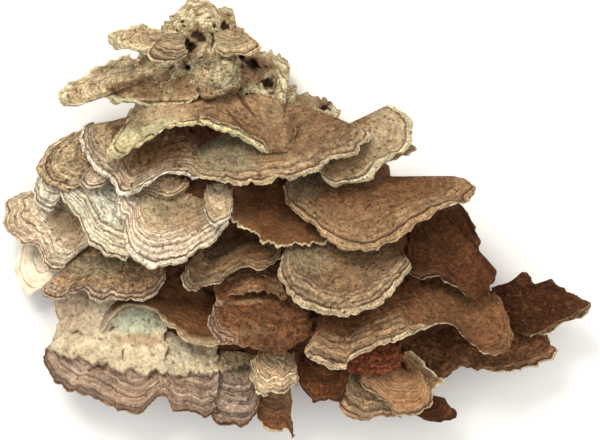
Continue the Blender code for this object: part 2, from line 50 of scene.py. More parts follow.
# The grid of a cap: its cells on top and below, how its rows crowd towards the margin, how far in from
# its two ends it thins out, and the lowest that it may lie over the cut.
CELL = 0.42
UNDER_CELL = 0.9
ROW_BIAS = 1.35
END_FADE = 2.5
MARGIN_THICKNESS = 1.8
LOWEST = 0.3

# The floor is in metres.
FLOOR_HALF = 1.5
FLOOR_LEVEL = -0.0004

# A bracket: its free margin and its root, each listed counter-clockwise seen from above as x and y in
# turn, with the heights of the left end, the middle and the right end over the cut. Flesh is its
# thickness at the root. Crown is how far it bulges, or sinks where it is a hollow.
Cap = namedtuple("Cap", "name margin margin_z root root_z flesh crown tone")

CAPS = (
    Cap("crown_left_knob", (-46, 60, -50, 60, -54, 59.4, -58, 59, -59.4, 57, -58.4, 54.8, -55.5, 53.4,
        -52, 52.4, -48, 51.4), (24, 22, 25),
        (-43, 59, -43, 54), (25, 25, 25), 5.0, 1.0, "lichen"),
    Cap("crown_small_cap", (-44, 56.5, -46.3, 53.5, -47.5, 51.5, -45, 49.8, -42, 48.9, -39, 49,
        -36.5, 50.3, -35, 52.5), (37, 40, 38),
        (-43, 58, -39, 59, -35.5, 56.5), (34, 34.5, 34), 2.4, 0.6, "tan"),
    Cap("crown_right_cap", (-27, 54, -25, 51.8, -21, 50.8, -17, 51, -14, 52.3, -12.3, 53.8, -13.5, 55.5,
        -16.5, 57.8, -19, 59.5), (36, 38, 32),
        (-26, 58.5, -22, 60), (31, 31, 30), 3.0, 1.2, "tan"),
    Cap("upper_left_shelf", (-53, 52.2, -56, 51.6, -59, 50, -60.5, 48.2, -64, 47, -68, 44.2, -71.4, 42.2,
        -73.6, 41.2, -75, 38.8, -74.2, 36, -71, 35.6, -67.5, 35.9, -64.5, 37.4, -61, 38.3, -58.8, 38,
        -57.5, 37, -54, 37, -51, 35, -46, 34.6, -40, 34.8, -34, 36, -31.5, 39), (28, 22, 39),
        (-49.5, 48.5, -38, 46.5, -31, 43.5), (28.5, 31, 33), 4.0, 1.5, "lichen"),
    Cap("crown_rough_cap", (-33, 44, -32.5, 40.5, -30.3, 37.4, -26, 38.4, -22, 39.8, -18.8, 41.8,
        -18.3, 45.5), (38, 42, 40),
        (-33, 50, -27, 51, -20, 50), (33, 34, 33), 3.6, 0.8, "lichen"),
    Cap("arched_shelf", (-54, 31.5, -57, 27.5, -59.3, 23.5, -59.6, 20.5, -57.8, 18.6, -55, 19.4,
        -52, 22.3, -48, 25, -43, 27.6, -38, 28.9, -31, 30, -26, 28.2, -20, 25.8, -14, 23, -8, 20.6,
        -4.8, 20.2, -2.4, 21.8, -1, 25, -0.8, 28.5), (32, 44, 42),
        (-50, 34.5, -39, 37.5, -25, 41, -12, 39.5, -5, 34.5), (29, 33, 35), 4.0, 0.8, "green"),
    Cap("left_shoulder_shelf", (-65.5, 30.5, -68, 28.5, -68.5, 24.5, -67.5, 21, -65.5, 17.8, -62.5, 14.8,
        -60, 13, -58.3, 10.5, -56.7, 7, -54, 7.4, -51, 9, -48, 10.8, -44, 13, -40, 14, -36, 13.8, -33, 13,
        -30.5, 16), (27, 35, 40),
        (-60.5, 30.5, -50, 33, -38, 32.5, -28, 27), (25, 26, 28), 3.6, -1.5, "velvet"),
    Cap("green_middle_shelf", (-33.5, 16, -32.5, 13.3, -28, 12, -20, 11.5, -12, 11.4, -6, 12.2, -2, 12.6,
        2, 14.2, 6, 15.2, 8, 17.5, 11, 19.2, 15, 20, 18.5, 21.5, 21, 23.8, 22.7, 26, 20.5, 28, 16, 30),
        (41, 47, 38),
        (-31, 24, -15, 33, -2, 36, 9, 33), (29, 31, 32), 3.8, 0.5, "green"),
    Cap("right_lobe_shelf", (4, 17, 7, 13.2, 11, 10.8, 16, 10.7, 21, 12.2, 24, 14.8, 26, 17.8, 29, 19.6,
        32.5, 21.2, 35, 24.5, 35, 28, 34.3, 31.5, 31.5, 34.8, 27.5, 35.7, 24.5, 34.6), (40, 39, 32),
        (5.5, 21.5, 10, 26.5, 15, 30), (30, 30, 30), 3.4, 1.0, "tan"),
    Cap("right_lobe_underlip", (27, 18, 31, 20, 34, 20.8, 36, 22.6, 35.4, 25.5, 34, 28), (28, 30, 28),
        (23, 21, 24, 27), (26, 26, 26), 2.4, 0.5, "brown"),
    Cap("great_right_shelf", (-5.5, 10.5, -4.5, 6, -2.5, 3.2, 0.5, 1, 4, -2, 8, -5.5, 13, -8.6, 20, -9.9,
        26, -8.6, 31, -5.4, 36, -1.6, 41.7, 2.1, 47, 4.3, 50.5, 5.2, 53.2, 6.5, 54.7, 9.2, 53.4, 12,
        50.6, 13.6, 47.5, 13.8), (30, 45, 28),
        (0, 16, 12, 17, 21, 13.9, 27, 13.6), (27, 27, 25), 3.8, 1.5, "tan"),
    Cap("brown_hollow_shelf", (-22, 5, -21.8, 1.2, -20, -1, -16.5, -3.8, -12, -6.2, -8, -8.3, -5, -9.3,
        -2, -8.6, 2, -8.5, 6, -7.8, 9.5, -6), (34, 39, 34),
        (-15, 13, -6, 14, 3, 11), (24, 25, 24), 3.4, -2.0, "brown"),
    Cap("zoned_middle_shelf", (-4, -8.5, -6, -12, -6.6, -17, -4.5, -22, -1, -25.5, 4, -28, 10, -29.7,
        17, -29.3, 23, -27.3, 28, -23.4, 32.5, -18.5, 34.7, -15, 33.8, -12.2), (33, 43, 35),
        (0, -5, 13, -3, 28.5, -7), (28, 28, 27), 3.6, 1.5, "tan"),
    Cap("great_left_shelf", (-56.5, 9, -57.5, 5, -56.5, 1.5, -54.5, -0.5, -55.2, -4, -54.6, -8,
        -53, -11.5, -50, -14, -45.5, -15.3, -41, -14.5, -36.5, -12.8, -31.5, -9.8, -27, -6.8, -24.5, -3.5,
        -22, -1), (31, 39, 35),
        (-50, 13, -40, 16, -28, 12), (24, 25, 26), 3.8, 1.5, "cream"),
    Cap("nested_lobe", (-50, 10.5, -48.5, 8.3, -45.5, 7, -42, 6.4, -39, 6.8, -36.5, 8.4, -34.8, 10.5),
        (32, 33.5, 33),
        (-47, 13.5, -41, 15, -37, 14), (29.5, 30, 30), 2.0, 0.4, "velvet"),
    Cap("cream_drape", (-30, 7, -29.3, 2, -28, -0.8, -25.8, -2.3, -23.6, -1, -21.8, 1.5, -21, 5, -21, 8),
        (37.5, 39, 37.5),
        (-29, 11, -25, 12, -21, 11), (34, 35, 34), 2.4, 0.5, "cream"),
    Cap("left_banded_shelf", (-75, 8.5, -74.5, 6, -72.5, 3.5, -70.5, 1, -68.8, -1.5, -68, -4, -66.5, -7,
        -64, -9, -60.5, -10.8, -57, -12, -54, -13), (23, 28, 30),
        (-68, 13, -60, 14, -52, 8), (21, 22, 22), 3.4, 1.2, "cream"),
    Cap("small_dark_lobe", (-67.5, 14, -69, 12, -68.5, 10, -66.5, 8.6, -64.5, 8.5, -62, 9.8, -60, 11.2,
        -57.5, 12.3), (27.5, 28, 29),
        (-65, 17, -61, 17.5, -58, 15.5), (26, 26, 27), 2.2, 0.5, "velvet"),
    Cap("round_left_cap", (-71, 27.5, -74.5, 25.5, -78, 22.8, -80.5, 20, -81.6, 17.5, -81.7, 14.8,
        -80, 12, -77.5, 10.2, -74.5, 9.3, -71, 9.4, -68, 10.8), (21, 23, 26),
        (-67, 28, -62, 24, -64, 17), (22, 23, 23.5), 3.2, 1.0, "velvet"),
    Cap("pale_left_lobe", (-82, 14, -83.2, 11, -83.2, 8, -82, 5.5, -80, 3.8, -78, 3.2, -76, 4.8,
        -74.5, 7.5), (16, 19, 19),
        (-80, 14.5, -76, 14.5, -72.5, 11.5), (16, 17, 17), 2.4, 0.8, "cream"),
    Cap("left_fan", (-84, 9.2, -87, 9, -90.5, 7, -92.4, 5, -91.8, 2.5, -93, 0.5, -93, -2, -91.5, -4.5,
        -88.5, -6.2, -86, -7.8, -83.5, -8, -82, -10.5, -80.5, -13.5, -78, -15.5, -75, -15.8, -72.5, -14,
        -70, -12, -67.5, -9.5, -66, -8), (11, 15, 20),
        (-78, 9, -70, 5, -64, -3), (12, 14, 15), 3.4, 1.5, "cream"),
    Cap("ghost_cap", (-86, -6, -88.3, -9, -88.6, -12, -89, -16, -88, -20, -86, -22.8, -84, -23.3,
        -81.5, -22.2, -79, -20, -76.5, -18), (7, 8, 11),
        (-80, -6, -74, -10), (6, 7, 8), 2.6, 1.0, "white"),
    Cap("velvet_left_shelf", (-74, -15, -76.5, -18, -79, -20.5, -81, -21.8, -79.5, -23.8, -76.5, -24.6,
        -73, -23.8, -70.5, -23.2, -67.5, -23, -65.5, -24.2, -62, -25, -59.5, -23.8, -57, -25.6,
        -53, -25.8, -49, -24.8, -45, -22.5, -42, -19.5, -42, -16), (16, 25, 23),
        (-66, -7, -56, -6, -46, -8), (15, 16, 17), 3.6, 1.0, "velvet"),
    Cap("shell_cap", (-33, -10, -35.5, -14, -36.8, -18, -36.6, -20.8, -34.2, -22.6, -30, -21, -26, -19.5,
        -21, -16.8, -16, -15.3, -10.5, -15, -7.5, -13.8, -5.8, -11, -6.2, -8.5), (24, 31, 28),
        (-29, -6, -18, -4, -8.5, -5), (18, 19, 20), 3.0, 1.2, "tan"),
    Cap("rust_step", (-27, -22, -24.5, -24.5, -21, -23.2, -17, -22.7, -13, -22.6, -10, -24, -7.5, -24.3,
        -5, -25.5), (26, 28, 29),
        (-22, -14, -12, -13, -5, -16), (18, 20, 21), 3.0, 0.5, "rust"),
    Cap("great_brown_shelf", (-22, -23, -25, -24.8, -27.3, -27.8, -28.9, -31, -29, -34, -27.3, -36.6,
        -24, -38.2, -19, -39.6, -14, -40.8, -9, -42.2, -5, -42.6, -3.5, -41, -1.5, -39, 1.5, -37.4,
        4, -36), (26, 33, 31),
        (-17, -21.5, -8, -19, 2.5, -24), (18, 19, 20), 3.8, 1.0, "rust"),
    Cap("dark_trough", (-62, -34.8, -60.3, -32.6, -59, -30.3, -56.3, -28, -52.8, -27, -48.4, -27.2,
        -45, -29, -41.6, -32.5, -37.8, -36, -33.8, -38, -29.4, -39.2, -24.7, -38.8), (20, 25, 27),
        (-64, -27, -52, -22, -38, -20, -26, -24), (14, 15, 16), 3.0, -1.5, "brown"),
    Cap("white_bottom_shelf", (-77, -23.3, -75.6, -28.5, -75.5, -33, -77, -37.5, -79, -40.5, -80.8, -43.4,
        -79, -46.4, -78, -49, -75.5, -51.6, -72, -54, -70, -53.5, -66.5, -54.8, -63, -56, -60.5, -57.3,
        -57.5, -59.4, -54, -60.4, -50, -60, -47.5, -57.7, -45, -55.6, -42.5, -55), (13, 17, 20),
        (-69, -19.5, -55, -21, -42, -28.5), (9.5, 14.5, 16), 4.0, 2.0, "white"),
    Cap("bottom_banded_shelf", (-43.5, -54.6, -42, -55.2, -40.8, -57, -39.6, -59.6, -36, -60, -33, -60.7,
        -30, -61.6, -27.8, -60.8, -26.3, -58.8), (20, 22, 20.5),
        (-43, -33, -34, -36.5, -25.5, -39), (14, 15, 15.5), 3.8, 2.0, "white"),
    Cap("bottom_wrinkled_shelf", (-27.5, -56, -27.3, -60.3, -26.6, -63, -23, -64.3, -20, -63.9,
        -17, -64.1, -15, -63, -13.8, -61, -12.5, -57), (20, 21, 20),
        (-26.5, -41, -20, -41, -13, -42), (15.5, 16, 16), 3.4, 1.6, "white"),
    Cap("pointed_flap", (-14, -57, -13, -61.5, -10.5, -64.3, -7, -65.9, -5, -65.3, -3.4, -67.6,
        -2.3, -68.6, -1.6, -67), (15, 17, 17),
        (-13.5, -47, -8, -46, -4, -46), (13, 13, 13), 3.0, 1.0, "brown"),
    Cap("frilled_white_cap", (-14.5, -43, -15.8, -46, -16, -49.5, -15, -52.3, -13, -55, -11, -55.3,
        -9.6, -54.4, -7.8, -54.1, -6, -54.9, -4.5, -53.9, -3, -52.6, -0.8, -52.2, -0.3, -49),
        (24, 28, 26),
        (-12.5, -41, -7, -40, -2, -42), (21, 22, 22), 3.0, 1.0, "cream"),
    Cap("bottom_dark_shelf", (-1.5, -47, -0.5, -51, 1, -53.6, 2.5, -55.6, 4.5, -57.4, 7, -57, 9, -57.4,
        11.5, -56.4, 13, -55.4, 14.6, -52, 15.5, -48), (18, 22, 20),
        (1, -42, 7, -43, 13, -44), (16, 17, 17), 3.0, 1.0, "brown"),
    Cap("long_right_shelf", (4, -36.5, 3, -38.5, 1.3, -41.5, 3, -43.7, 6, -45.2, 9.5, -46.5, 14, -46.8,
        15.5, -44, 19, -42, 24, -40, 30, -38, 34, -36.3, 38, -34.3, 41.5, -32.7, 45.5, -32.5, 48.5, -33.8,
        51, -35.8, 53, -38.5, 56, -41, 59, -42.6, 62.5, -42.4, 65, -40.5, 66.3, -37, 66, -33, 64.5, -28,
        62.5, -24), (34, 37, 22),
        (8, -24, 25, -20, 42, -20, 56, -20), (22, 22, 17), 3.8, 1.5, "tan"),
    Cap("right_shadow_shelf", (33, -13, 34.5, -17.2, 38, -18.4, 42, -18.4, 46, -18.7, 48.5, -20.6,
        51.5, -23.2, 55, -25, 57.5, -23, 60.5, -20, 62.4, -16.8, 59.8, -14.2, 57.5, -11.6, 56.3, -8.6,
        55.8, -5.3, 54.4, -1.5, 52.4, 2.4), (28, 30, 21),
        (35, -3, 42, 2, 49.5, 5.4), (19, 19, 17), 3.6, 1.0, "brown"),
    Cap("right_tail_cap", (69, -35.8, 72.5, -36.6, 76, -36.3, 79, -34.8, 82.5, -32.7, 86, -30.8,
        89.4, -28.6, 91, -25.8, 87, -23.8, 83.5, -22.6, 81, -20.8, 79.5, -19.3, 77.3, -18.8, 75.2, -20,
        73, -18.8, 71, -16.8, 68.5, -18.2, 66, -19.4), (20, 18, 15),
        (63, -33, 59.5, -28, 60, -21), (13, 13, 12), 3.4, -1.0, "brown"),
    Cap("lower_right_shelf", (33, -40, 36, -43.5, 40, -47, 43.5, -49.5, 46.5, -48.3, 50, -46.2, 55, -47,
        61, -47.2, 67, -46.8, 73, -45.8, 78, -43.5, 80.4, -41, 79, -38.5, 77.5, -36), (19, 19, 15),
        (38, -36, 52, -33, 66, -31), (13, 12, 10), 3.4, 1.0, "brown"),
    Cap("granular_red_cap", (14.8, -44, 14.6, -46.6, 18, -47.6, 24, -48, 29, -47.6, 31.6, -45.6,
        32.3, -42), (26, 27, 25),
        (16, -38, 24, -37, 31, -38), (23, 23, 22), 3.0, 0.8, "rust"),
    Cap("rimmed_corner_cap", (41.5, -55, 43.5, -52, 45.2, -50.2, 43, -49, 40, -46.3, 37, -43, 35, -41.2,
        32.5, -41.3), (21, 25, 25),
        (35, -50, 33.5, -47, 32.5, -44), (20, 21, 22), 2.4, -0.6, "brown"),
    Cap("tan_fan_cap", (19.5, -48, 19.2, -50.5, 21.5, -53, 24.5, -55.6, 27.5, -58.6, 29.8, -61, 33, -61.6,
        36.5, -60.9, 39, -59.3, 41, -57.8, 41.3, -54.5, 40, -51, 38.5, -48), (22, 27, 24),
        (23, -46.5, 29, -45, 35, -46), (18, 18, 18), 3.0, 1.2, "amber"),
    Cap("bottom_double_cap", (14.5, -48, 13, -52, 11.6, -56, 12, -58.5, 14.5, -60.8, 17.5, -62.1,
        21, -62.4, 25, -62.1, 29, -61.6, 32, -61.9), (18, 20, 19),
        (17, -46, 22, -46, 27, -50), (14, 14, 15), 3.0, 1.2, "tan"),
    Cap("dark_bottom_tip", (36, -60.8, 38.5, -62, 41, -63, 44.5, -63, 47.5, -61.9, 48.5, -60, 47.2, -57.8,
        45.2, -55.6, 43.2, -55.2), (15, 13, 15),
        (34.5, -58.5, 35, -55.5, 38, -54), (14, 14, 15), 2.6, 0.8, "brown"),
)

# The crust that the brackets grew from, as seen from above.
CRUST_OUTLINE = (
    (-47, 57.5), (-43, 60), (-40.5, 62.5), (-38.5, 66.4), (-35, 68), (-30.5, 68.8), (-27, 67.2),
    (-23.5, 67.3), (-21.5, 65), (-20, 61), (-17, 57), (-13, 54), (-9, 52), (-5.6, 52), (-3.4, 48.6),
    (-4.2, 45), (-1, 41.6), (3, 38.2), (9, 37.8), (11.4, 35), (15, 27), (22, 21.5), (26.8, 17.4),
    (28.8, 13.8), (37, 9), (48, 2), (52, -8), (58, -18), (62, -26), (62, -33), (56, -38), (46, -41),
    (38, -48), (26, -51), (14, -49), (0, -47), (-16, -49), (-30, -48), (-46, -44), (-60, -38), (-68, -28),
    (-70, -16), (-68, -4), (-72, 6), (-70, 16), (-64, 26), (-56, 30), (-51, 38), (-50.5, 50),
)
CRUST_CENTRE = (-10, 2)

# Lumps of the bare crown, where no bracket hides the crust: x, y, height over the cut.
CROWN_LUMPS = (
    (-31, 67, 24), (-36, 62, 31), (-24, 63, 29), (-30, 60, 34), (-40, 57, 32), (-33, 54, 36),
    (-27, 56, 35), (-46, 52, 31), (-38, 48, 36), (-28, 50, 37), (-20, 53, 33), (-14, 48, 33),
    (-8, 47, 31), (-16, 42, 36), (-7, 41, 33), (0, 38, 32), (6, 35, 31), (-44, 43, 33),
)

# Holes in the crown: x, y, radius.
CROWN_PITS = (
    (-43.5, 56.5, 1.1), (-35.6, 55.6, 1.4), (-33.8, 53.8, 1.8), (-23.5, 60, 1.8), (-36.5, 62, 0.7),
    (-27, 60.6, 0.6), (-31, 49.8, 0.9), (-35, 47.5, 0.8), (-10, 42.6, 2.4), (-15, 48.5, 2.0),
    (-18, 51, 1.2), (7.5, 35, 1.2), (-46, 46.8, 0.8), (-43.5, 46.8, 0.7), (-20, 56, 0.7),
)

# The grid of the crust, the height of its wall at the rim, and its foot, which draws in to the cut.
RIM_STEPS = 2001
CRUST_RINGS = 150
CRUST_SPOKES = 420
CRUST_WALL = 7.0
FOOT_ROWS = 6
FOOT_INSET = 0.07

# The crown starts here, with closer points. Then the height at which the crust's supports are weighed,
# how far its lumps sink into it, how deep its pits are, and how far round a cap's root it rises to it.
CROWN_START = 30
CRUST_LEVEL = 25.0
CRUST_SINK = 5.2
PIT_DEPTH = 4.5
ROOT_HOLD = 2.4
ROOT_COVER = 0.4

# Screen colours of the flesh.
WHITE = (250, 237, 212)
CREAM = (238, 221, 186)
IVORY = (230, 214, 174)
LEMON = (218, 208, 162)
MOSS = (150, 140, 110)
MINT = (206, 212, 188)
LILAC = (216, 190, 166)
MAUVE = (170, 146, 126)
SAND = (210, 184, 146)
TAN = (188, 156, 118)
FAWN = (162, 132, 99)
UMBER = (134, 105, 76)
BARK = (120, 84, 54)
BROWN = (100, 62, 37)
RUST = (128, 86, 58)
BRICK = (150, 84, 56)
AMBER = (190, 144, 104)
DARK = (76, 44, 26)
VIOLET = (68, 38, 32)
PORES = (70, 44, 34)
PORE_WALLS = (146, 108, 80)

# A spot of another colour on a cap: its middle, half its width and height, its colour, how much it
# covers and how many degrees it is turned.
Patch = namedtuple("Patch", "x y wide high colour share turn", defaults=(0.8, 0))

# Where the bottom shelves step down to their outer tier, from left to right.
LEDGE = (
    (-82, -40), (-72, -42.5), (-67, -44), (-60, -46.2), (-52, -47.5), (-48, -48.5), (-44, -47.8),
    (-36, -48.6), (-29, -48.8), (-22, -47.5), (-12, -46),
)

# Pale flesh of the crust under the lip of the dark trough, and painted shade: brown patches where shadow
# falls in the hollows of the crown.
CRUST_PALE = Patch(-46, -29, 9, 5, MINT, 1.0)
CROWN_PAINTED_SHADE = (
    Patch(-14, 47, 6, 5, BARK, 0.9), Patch(-34, 53, 3, 4, BARK, 0.8), Patch(3, 37, 5, 3, BARK, 0.7),
    Patch(-30, 49, 5, 1.5, BARK, 0.6),
)

# What sets each cap apart: the colours of its margin, of the flesh inside it and far inside; how wide the
# pale margin is; how many strong lines follow it; how far its zones differ in lightness and how wide they
# are; how much the margin is frilled, pleated and toothed; the height of the lumps on it and how far they
# reach in from the margin; how strong its grain is; the colour of its very edge, a pale margin with a
# painted highlight on it; from where to where along it the pale margin shows, and the pale edge, if that
# is longer; how far it steps down at the ledge; and its patches.
ALL_OVER = 99
Look = namedtuple(
    "Look",
    "rim body inner width strong bands step frill pleat teeth lump reach grain edge shown edged ledge"
    " patches",
    defaults=(0.08, 2.0, 1.0, 1.0, 0.2, 0.0, ALL_OVER, 1.3, None, (0.0, 1.0), None, 0.0, ()))
LOOKS = {
    "crown_left_knob": Look(IVORY, IVORY, SAND, 1.5, 0, frill=2.0, pleat=1.5, lump=1.0,
        patches=(Patch(-51, 58, 4, 2.5, TAN, 0.6),)),
    "crown_small_cap": Look(SAND, MOSS, TAN, 0.9, 3, bands=0.2, step=1.7, pleat=0.5, edge=CREAM),
    "crown_right_cap": Look(SAND, MOSS, TAN, 1.4, 1, bands=0.12, step=2.4, pleat=0.8, edge=IVORY),
    "upper_left_shelf": Look(IVORY, SAND, SAND, 3.0, 0, frill=1.8, pleat=1.6, lump=0.9,
        patches=(Patch(-46.5, 41.6, 15.5, 4.4, UMBER, 0.95), Patch(-38, 42, 6, 3.6, FAWN, 0.8),
        Patch(-72, 39, 3, 3, TAN, 0.5), Patch(-57, 47, 7, 3, MOSS, 0.5),
        Patch(-46, 37, 13, 0.5, DARK, 0.8, 1))),
    "crown_rough_cap": Look(UMBER, MOSS, MOSS, 1.0, 0, frill=1.2, pleat=0.8, lump=1.1, grain=2.2,
        patches=(Patch(-29, 40, 4, 2.4, FAWN, 0.7), Patch(-24, 46, 4, 5, IVORY, 0.6),
        Patch(-31, 45, 3, 4, SAND, 0.5))),
    "arched_shelf": Look(LEMON, UMBER, FAWN, 2.6, 1, bands=0.08, frill=1.4, lump=1.0, reach=5.0,
        shown=(0, 0.8), grain=1.3, patches=(Patch(-50, 31, 11, 5, MOSS, 0.6),
        Patch(-41, 33, 10, 4, SAND, 0.6), Patch(-55, 25, 5, 4.5, LEMON, 0.9),
        Patch(-44, 29, 7, 2.2, LEMON, 0.8, 25), Patch(-17, 36, 6, 0.6, DARK, 0.8, -52),
        Patch(-20, 31, 7, 0.5, DARK, 0.6, -48), Patch(-9, 33, 4, 7, FAWN, 0.5))),
    "left_shoulder_shelf": Look(WHITE, TAN, UMBER, 1.8, 4, bands=0.1, step=1.3, pleat=1.2, grain=1.7,
        patches=(Patch(-44, 20, 9, 5, BARK, 0.6), Patch(-62, 24, 3, 7, SAND, 0.6))),
    "green_middle_shelf": Look(SAND, FAWN, UMBER, 1.8, 2, bands=0.08, step=2.4, frill=1.4, teeth=0.35,
        lump=0.6, reach=2.0, grain=1.5, edge=IVORY, patches=(Patch(-24, 22, 12, 8, MOSS, 0.75),
        Patch(4, 26, 14, 9, UMBER, 0.7))),
    "right_lobe_shelf": Look(IVORY, FAWN, FAWN, 2.4, 1, bands=0.08, step=2.4, pleat=0.8, edge=CREAM,
        patches=(Patch(27, 28, 8, 8, SAND, 0.6), Patch(14, 21, 8, 4, UMBER, 0.5))),
    "right_lobe_underlip": Look(SAND, TAN, FAWN, 0.8, 0, frill=1.5),
    "great_right_shelf": Look(TAN, UMBER, BARK, 3.0, 2, bands=0.1, step=2.6, grain=1.5, edge=SAND,
        shown=(0, 0.9), patches=(Patch(2, 12, 6, 6, MOSS, 0.5), Patch(15, 1, 14, 5, FAWN, 0.4),
        Patch(36, 10, 9, 4, BARK, 0.6))),
    "brown_hollow_shelf": Look(SAND, BARK, BROWN, 0.9, 0, bands=0.08, frill=1.4, pleat=0.8, teeth=0.55,
        grain=0.9, edge=IVORY),
    "zoned_middle_shelf": Look(SAND, FAWN, UMBER, 2.4, 3, bands=0.1, step=1.6, grain=1.6, edge=CREAM,
        patches=(Patch(3, -12, 9, 5, MOSS, 0.55), Patch(16, -17, 14, 7, FAWN, 0.4))),
    "great_left_shelf": Look(WHITE, LILAC, SAND, 2.2, 5, bands=0.1, step=1.7, pleat=1.2, edge=IVORY,
        patches=(Patch(-35, 2, 12, 6, FAWN, 0.75), Patch(-45, 6, 7, 5, MOSS, 0.4))),
    "nested_lobe": Look(SAND, SAND, TAN, 0.6, 2, bands=0.14, step=1.4, pleat=0.4, grain=1.5),
    "cream_drape": Look(WHITE, SAND, LILAC, 1.2, 1, bands=0.1,
        patches=(Patch(-23, 6, 2.5, 6, SAND, 0.7),)),
    "left_banded_shelf": Look(CREAM, WHITE, WHITE, 1.2, 6, bands=0.1, step=1.6, pleat=1.2, edge=IVORY),
    "small_dark_lobe": Look(CREAM, LILAC, SAND, 0.6, 3, bands=0.14, step=1.3, frill=0.9, pleat=0.5,
        grain=1.5),
    "round_left_cap": Look(SAND, SAND, TAN, 3.0, 2, bands=0.14, step=1.6, pleat=0.8, grain=1.8,
        edge=FAWN),
    "pale_left_lobe": Look(WHITE, WHITE, WHITE, 1.0, 2, bands=0.08, pleat=0.8),
    "left_fan": Look(CREAM, LILAC, CREAM, 1.0, 4, bands=0.12, step=1.6, frill=1.3, pleat=1.2,
        patches=(Patch(-74, -1, 6, 6, FAWN, 0.85), Patch(-70, -6, 4, 3, AMBER, 0.6),
        Patch(-92, 1, 3, 6, TAN, 0.5))),
    "ghost_cap": Look(WHITE, WHITE, WHITE, 2.0, 0, bands=0.02, step=2.6, frill=0.7, pleat=0.6, grain=0.3),
    "velvet_left_shelf": Look(LILAC, FAWN, FAWN, 1.2, 2, bands=0.14, frill=1.7, pleat=1.4, grain=2.0,
        edge=CREAM, patches=(Patch(-63, -14, 10, 4, MOSS, 0.6), Patch(-47, -16, 6, 6, UMBER, 0.5))),
    "shell_cap": Look(SAND, FAWN, UMBER, 0.9, 4, bands=0.28, step=1.1, frill=1.1, pleat=0.9, grain=1.4,
        edge=IVORY, patches=(Patch(-14, -12, 8, 4, BARK, 0.6),)),
    "rust_step": Look(TAN, RUST, TAN, 0.7, 0, bands=0.2, frill=1.8, lump=0.5, grain=1.8,
        patches=(Patch(-16, -22, 5, 3, AMBER, 0.7), Patch(-6, -22, 4, 3, FAWN, 0.6))),
    "great_brown_shelf": Look(LILAC, BARK, RUST, 1.0, 3, bands=0.12, step=1.3, frill=1.2, pleat=0.8,
        grain=1.8, edge=SAND, shown=(0.15, 0.5), patches=(Patch(-10, -28, 14, 4, RUST, 0.6),
        Patch(-16, -25.5, 9, 0.9, TAN, 0.5, 4), Patch(-4, -32, 9, 0.7, DARK, 0.6, -3),
        Patch(-14, -35, 8, 2, UMBER, 0.7))),
    "dark_trough": Look(SAND, BARK, BROWN, 0.5, 0, bands=0.08, frill=1.0, pleat=0.6, grain=0.9,
        edge=IVORY, patches=(Patch(-61, -31, 4, 5, MAUVE, 0.95),)),
    "white_bottom_shelf": Look(MAUVE, MAUVE, CREAM, 0.5, 2, bands=0.26, step=1.2, frill=1.3, pleat=1.3,
        lump=0.9, grain=0.9, edge=TAN, ledge=1.8, patches=(Patch(-50, -32, 8.5, 5, MINT, 0.9),
        Patch(-70, -30, 6, 7, LILAC, 0.7), Patch(-50, -37.5, 9, 2.5, TAN, 0.7))),
    "bottom_banded_shelf": Look(FAWN, MAUVE, CREAM, 0.5, 1, bands=0.2, step=1.3, frill=1.2, lump=0.9,
        grain=1.3, edge=FAWN, ledge=1.6, patches=(Patch(-30, -39, 3, 3, BRICK, 0.4),)),
    "bottom_wrinkled_shelf": Look(UMBER, MAUVE, SAND, 0.5, 1, bands=0.22, step=1.3, frill=1.5, pleat=1.2,
        lump=1.0, grain=1.5, edge=FAWN, ledge=1.6, patches=(Patch(-20, -47, 4, 4, MOSS, 0.5),)),
    "pointed_flap": Look(RUST, RUST, FAWN, 0.5, 0, bands=0.14, step=2.4, frill=1.2, pleat=1.4, grain=1.3,
        edge=SAND),
    "frilled_white_cap": Look(CREAM, TAN, SAND, 0.8, 4, bands=0.18, step=1.2, frill=1.5, pleat=1.4,
        teeth=0.5, grain=1.3, edge=IVORY),
    "bottom_dark_shelf": Look(RUST, BROWN, RUST, 0.5, 1, bands=0.2, frill=1.6, lump=0.6, grain=1.7),
    "long_right_shelf": Look(SAND, UMBER, RUST, 2.4, 4, bands=0.1, step=1.5, grain=1.6, edge=CREAM,
        shown=(0, 0.5), edged=(0, 0.74), patches=(Patch(50, -27, 14, 12, BARK, 0.7),
        Patch(14, -33, 12, 4, BROWN, 0.6))),
    "right_shadow_shelf": Look(BARK, BROWN, BROWN, 0.7, 1, bands=0.14, frill=1.6, pleat=2.0, grain=1.5,
        edge=IVORY, lump=0.5, shown=(0, 0.45)),
    "right_tail_cap": Look(TAN, BROWN, DARK, 0.9, 2, bands=0.14, step=1.4, frill=1.5, pleat=2.0,
        grain=1.6, edge=CREAM, lump=0.8, shown=(0, 0.5)),
    "lower_right_shelf": Look(TAN, RUST, BARK, 0.8, 1, bands=0.14, frill=1.4, grain=1.9, edge=CREAM,
        lump=0.5, shown=(0.5, 1)),
    "granular_red_cap": Look(BRICK, BRICK, BRICK, 0.5, 0, bands=0.12, frill=1.4, pleat=0.8, grain=2.2,
        lump=0.5),
    "rimmed_corner_cap": Look(IVORY, FAWN, BARK, 1.1, 0, pleat=0.5),
    "tan_fan_cap": Look(TAN, AMBER, AMBER, 0.8, 1, bands=0.08, step=1.4, pleat=0.8, grain=0.9, edge=SAND),
    "bottom_double_cap": Look(SAND, TAN, TAN, 0.9, 3, bands=0.2, step=1.5, frill=1.3, grain=1.4,
        edge=AMBER),
    "dark_bottom_tip": Look(BROWN, BROWN, DARK, 0.5, 1, bands=0.1, frill=1.2, pleat=0.6),
}


def paint(colour):
    """A screen colour as the shader's linear colour."""
    share = np.array(colour) / 255
    return (*np.where(share <= 0.04045, share / 12.92, ((share + 0.055) / 1.055) ** 2.4), 1.0)


def seen(x, y, z):
    """Row frame places of points drawn at x, y that lie z over the cut."""
    scale = (EYE_HEIGHT - z) / (EYE_HEIGHT - OUTLINE_LEVEL)
    return np.stack([x * scale, y * scale, z], axis=-1) * MM


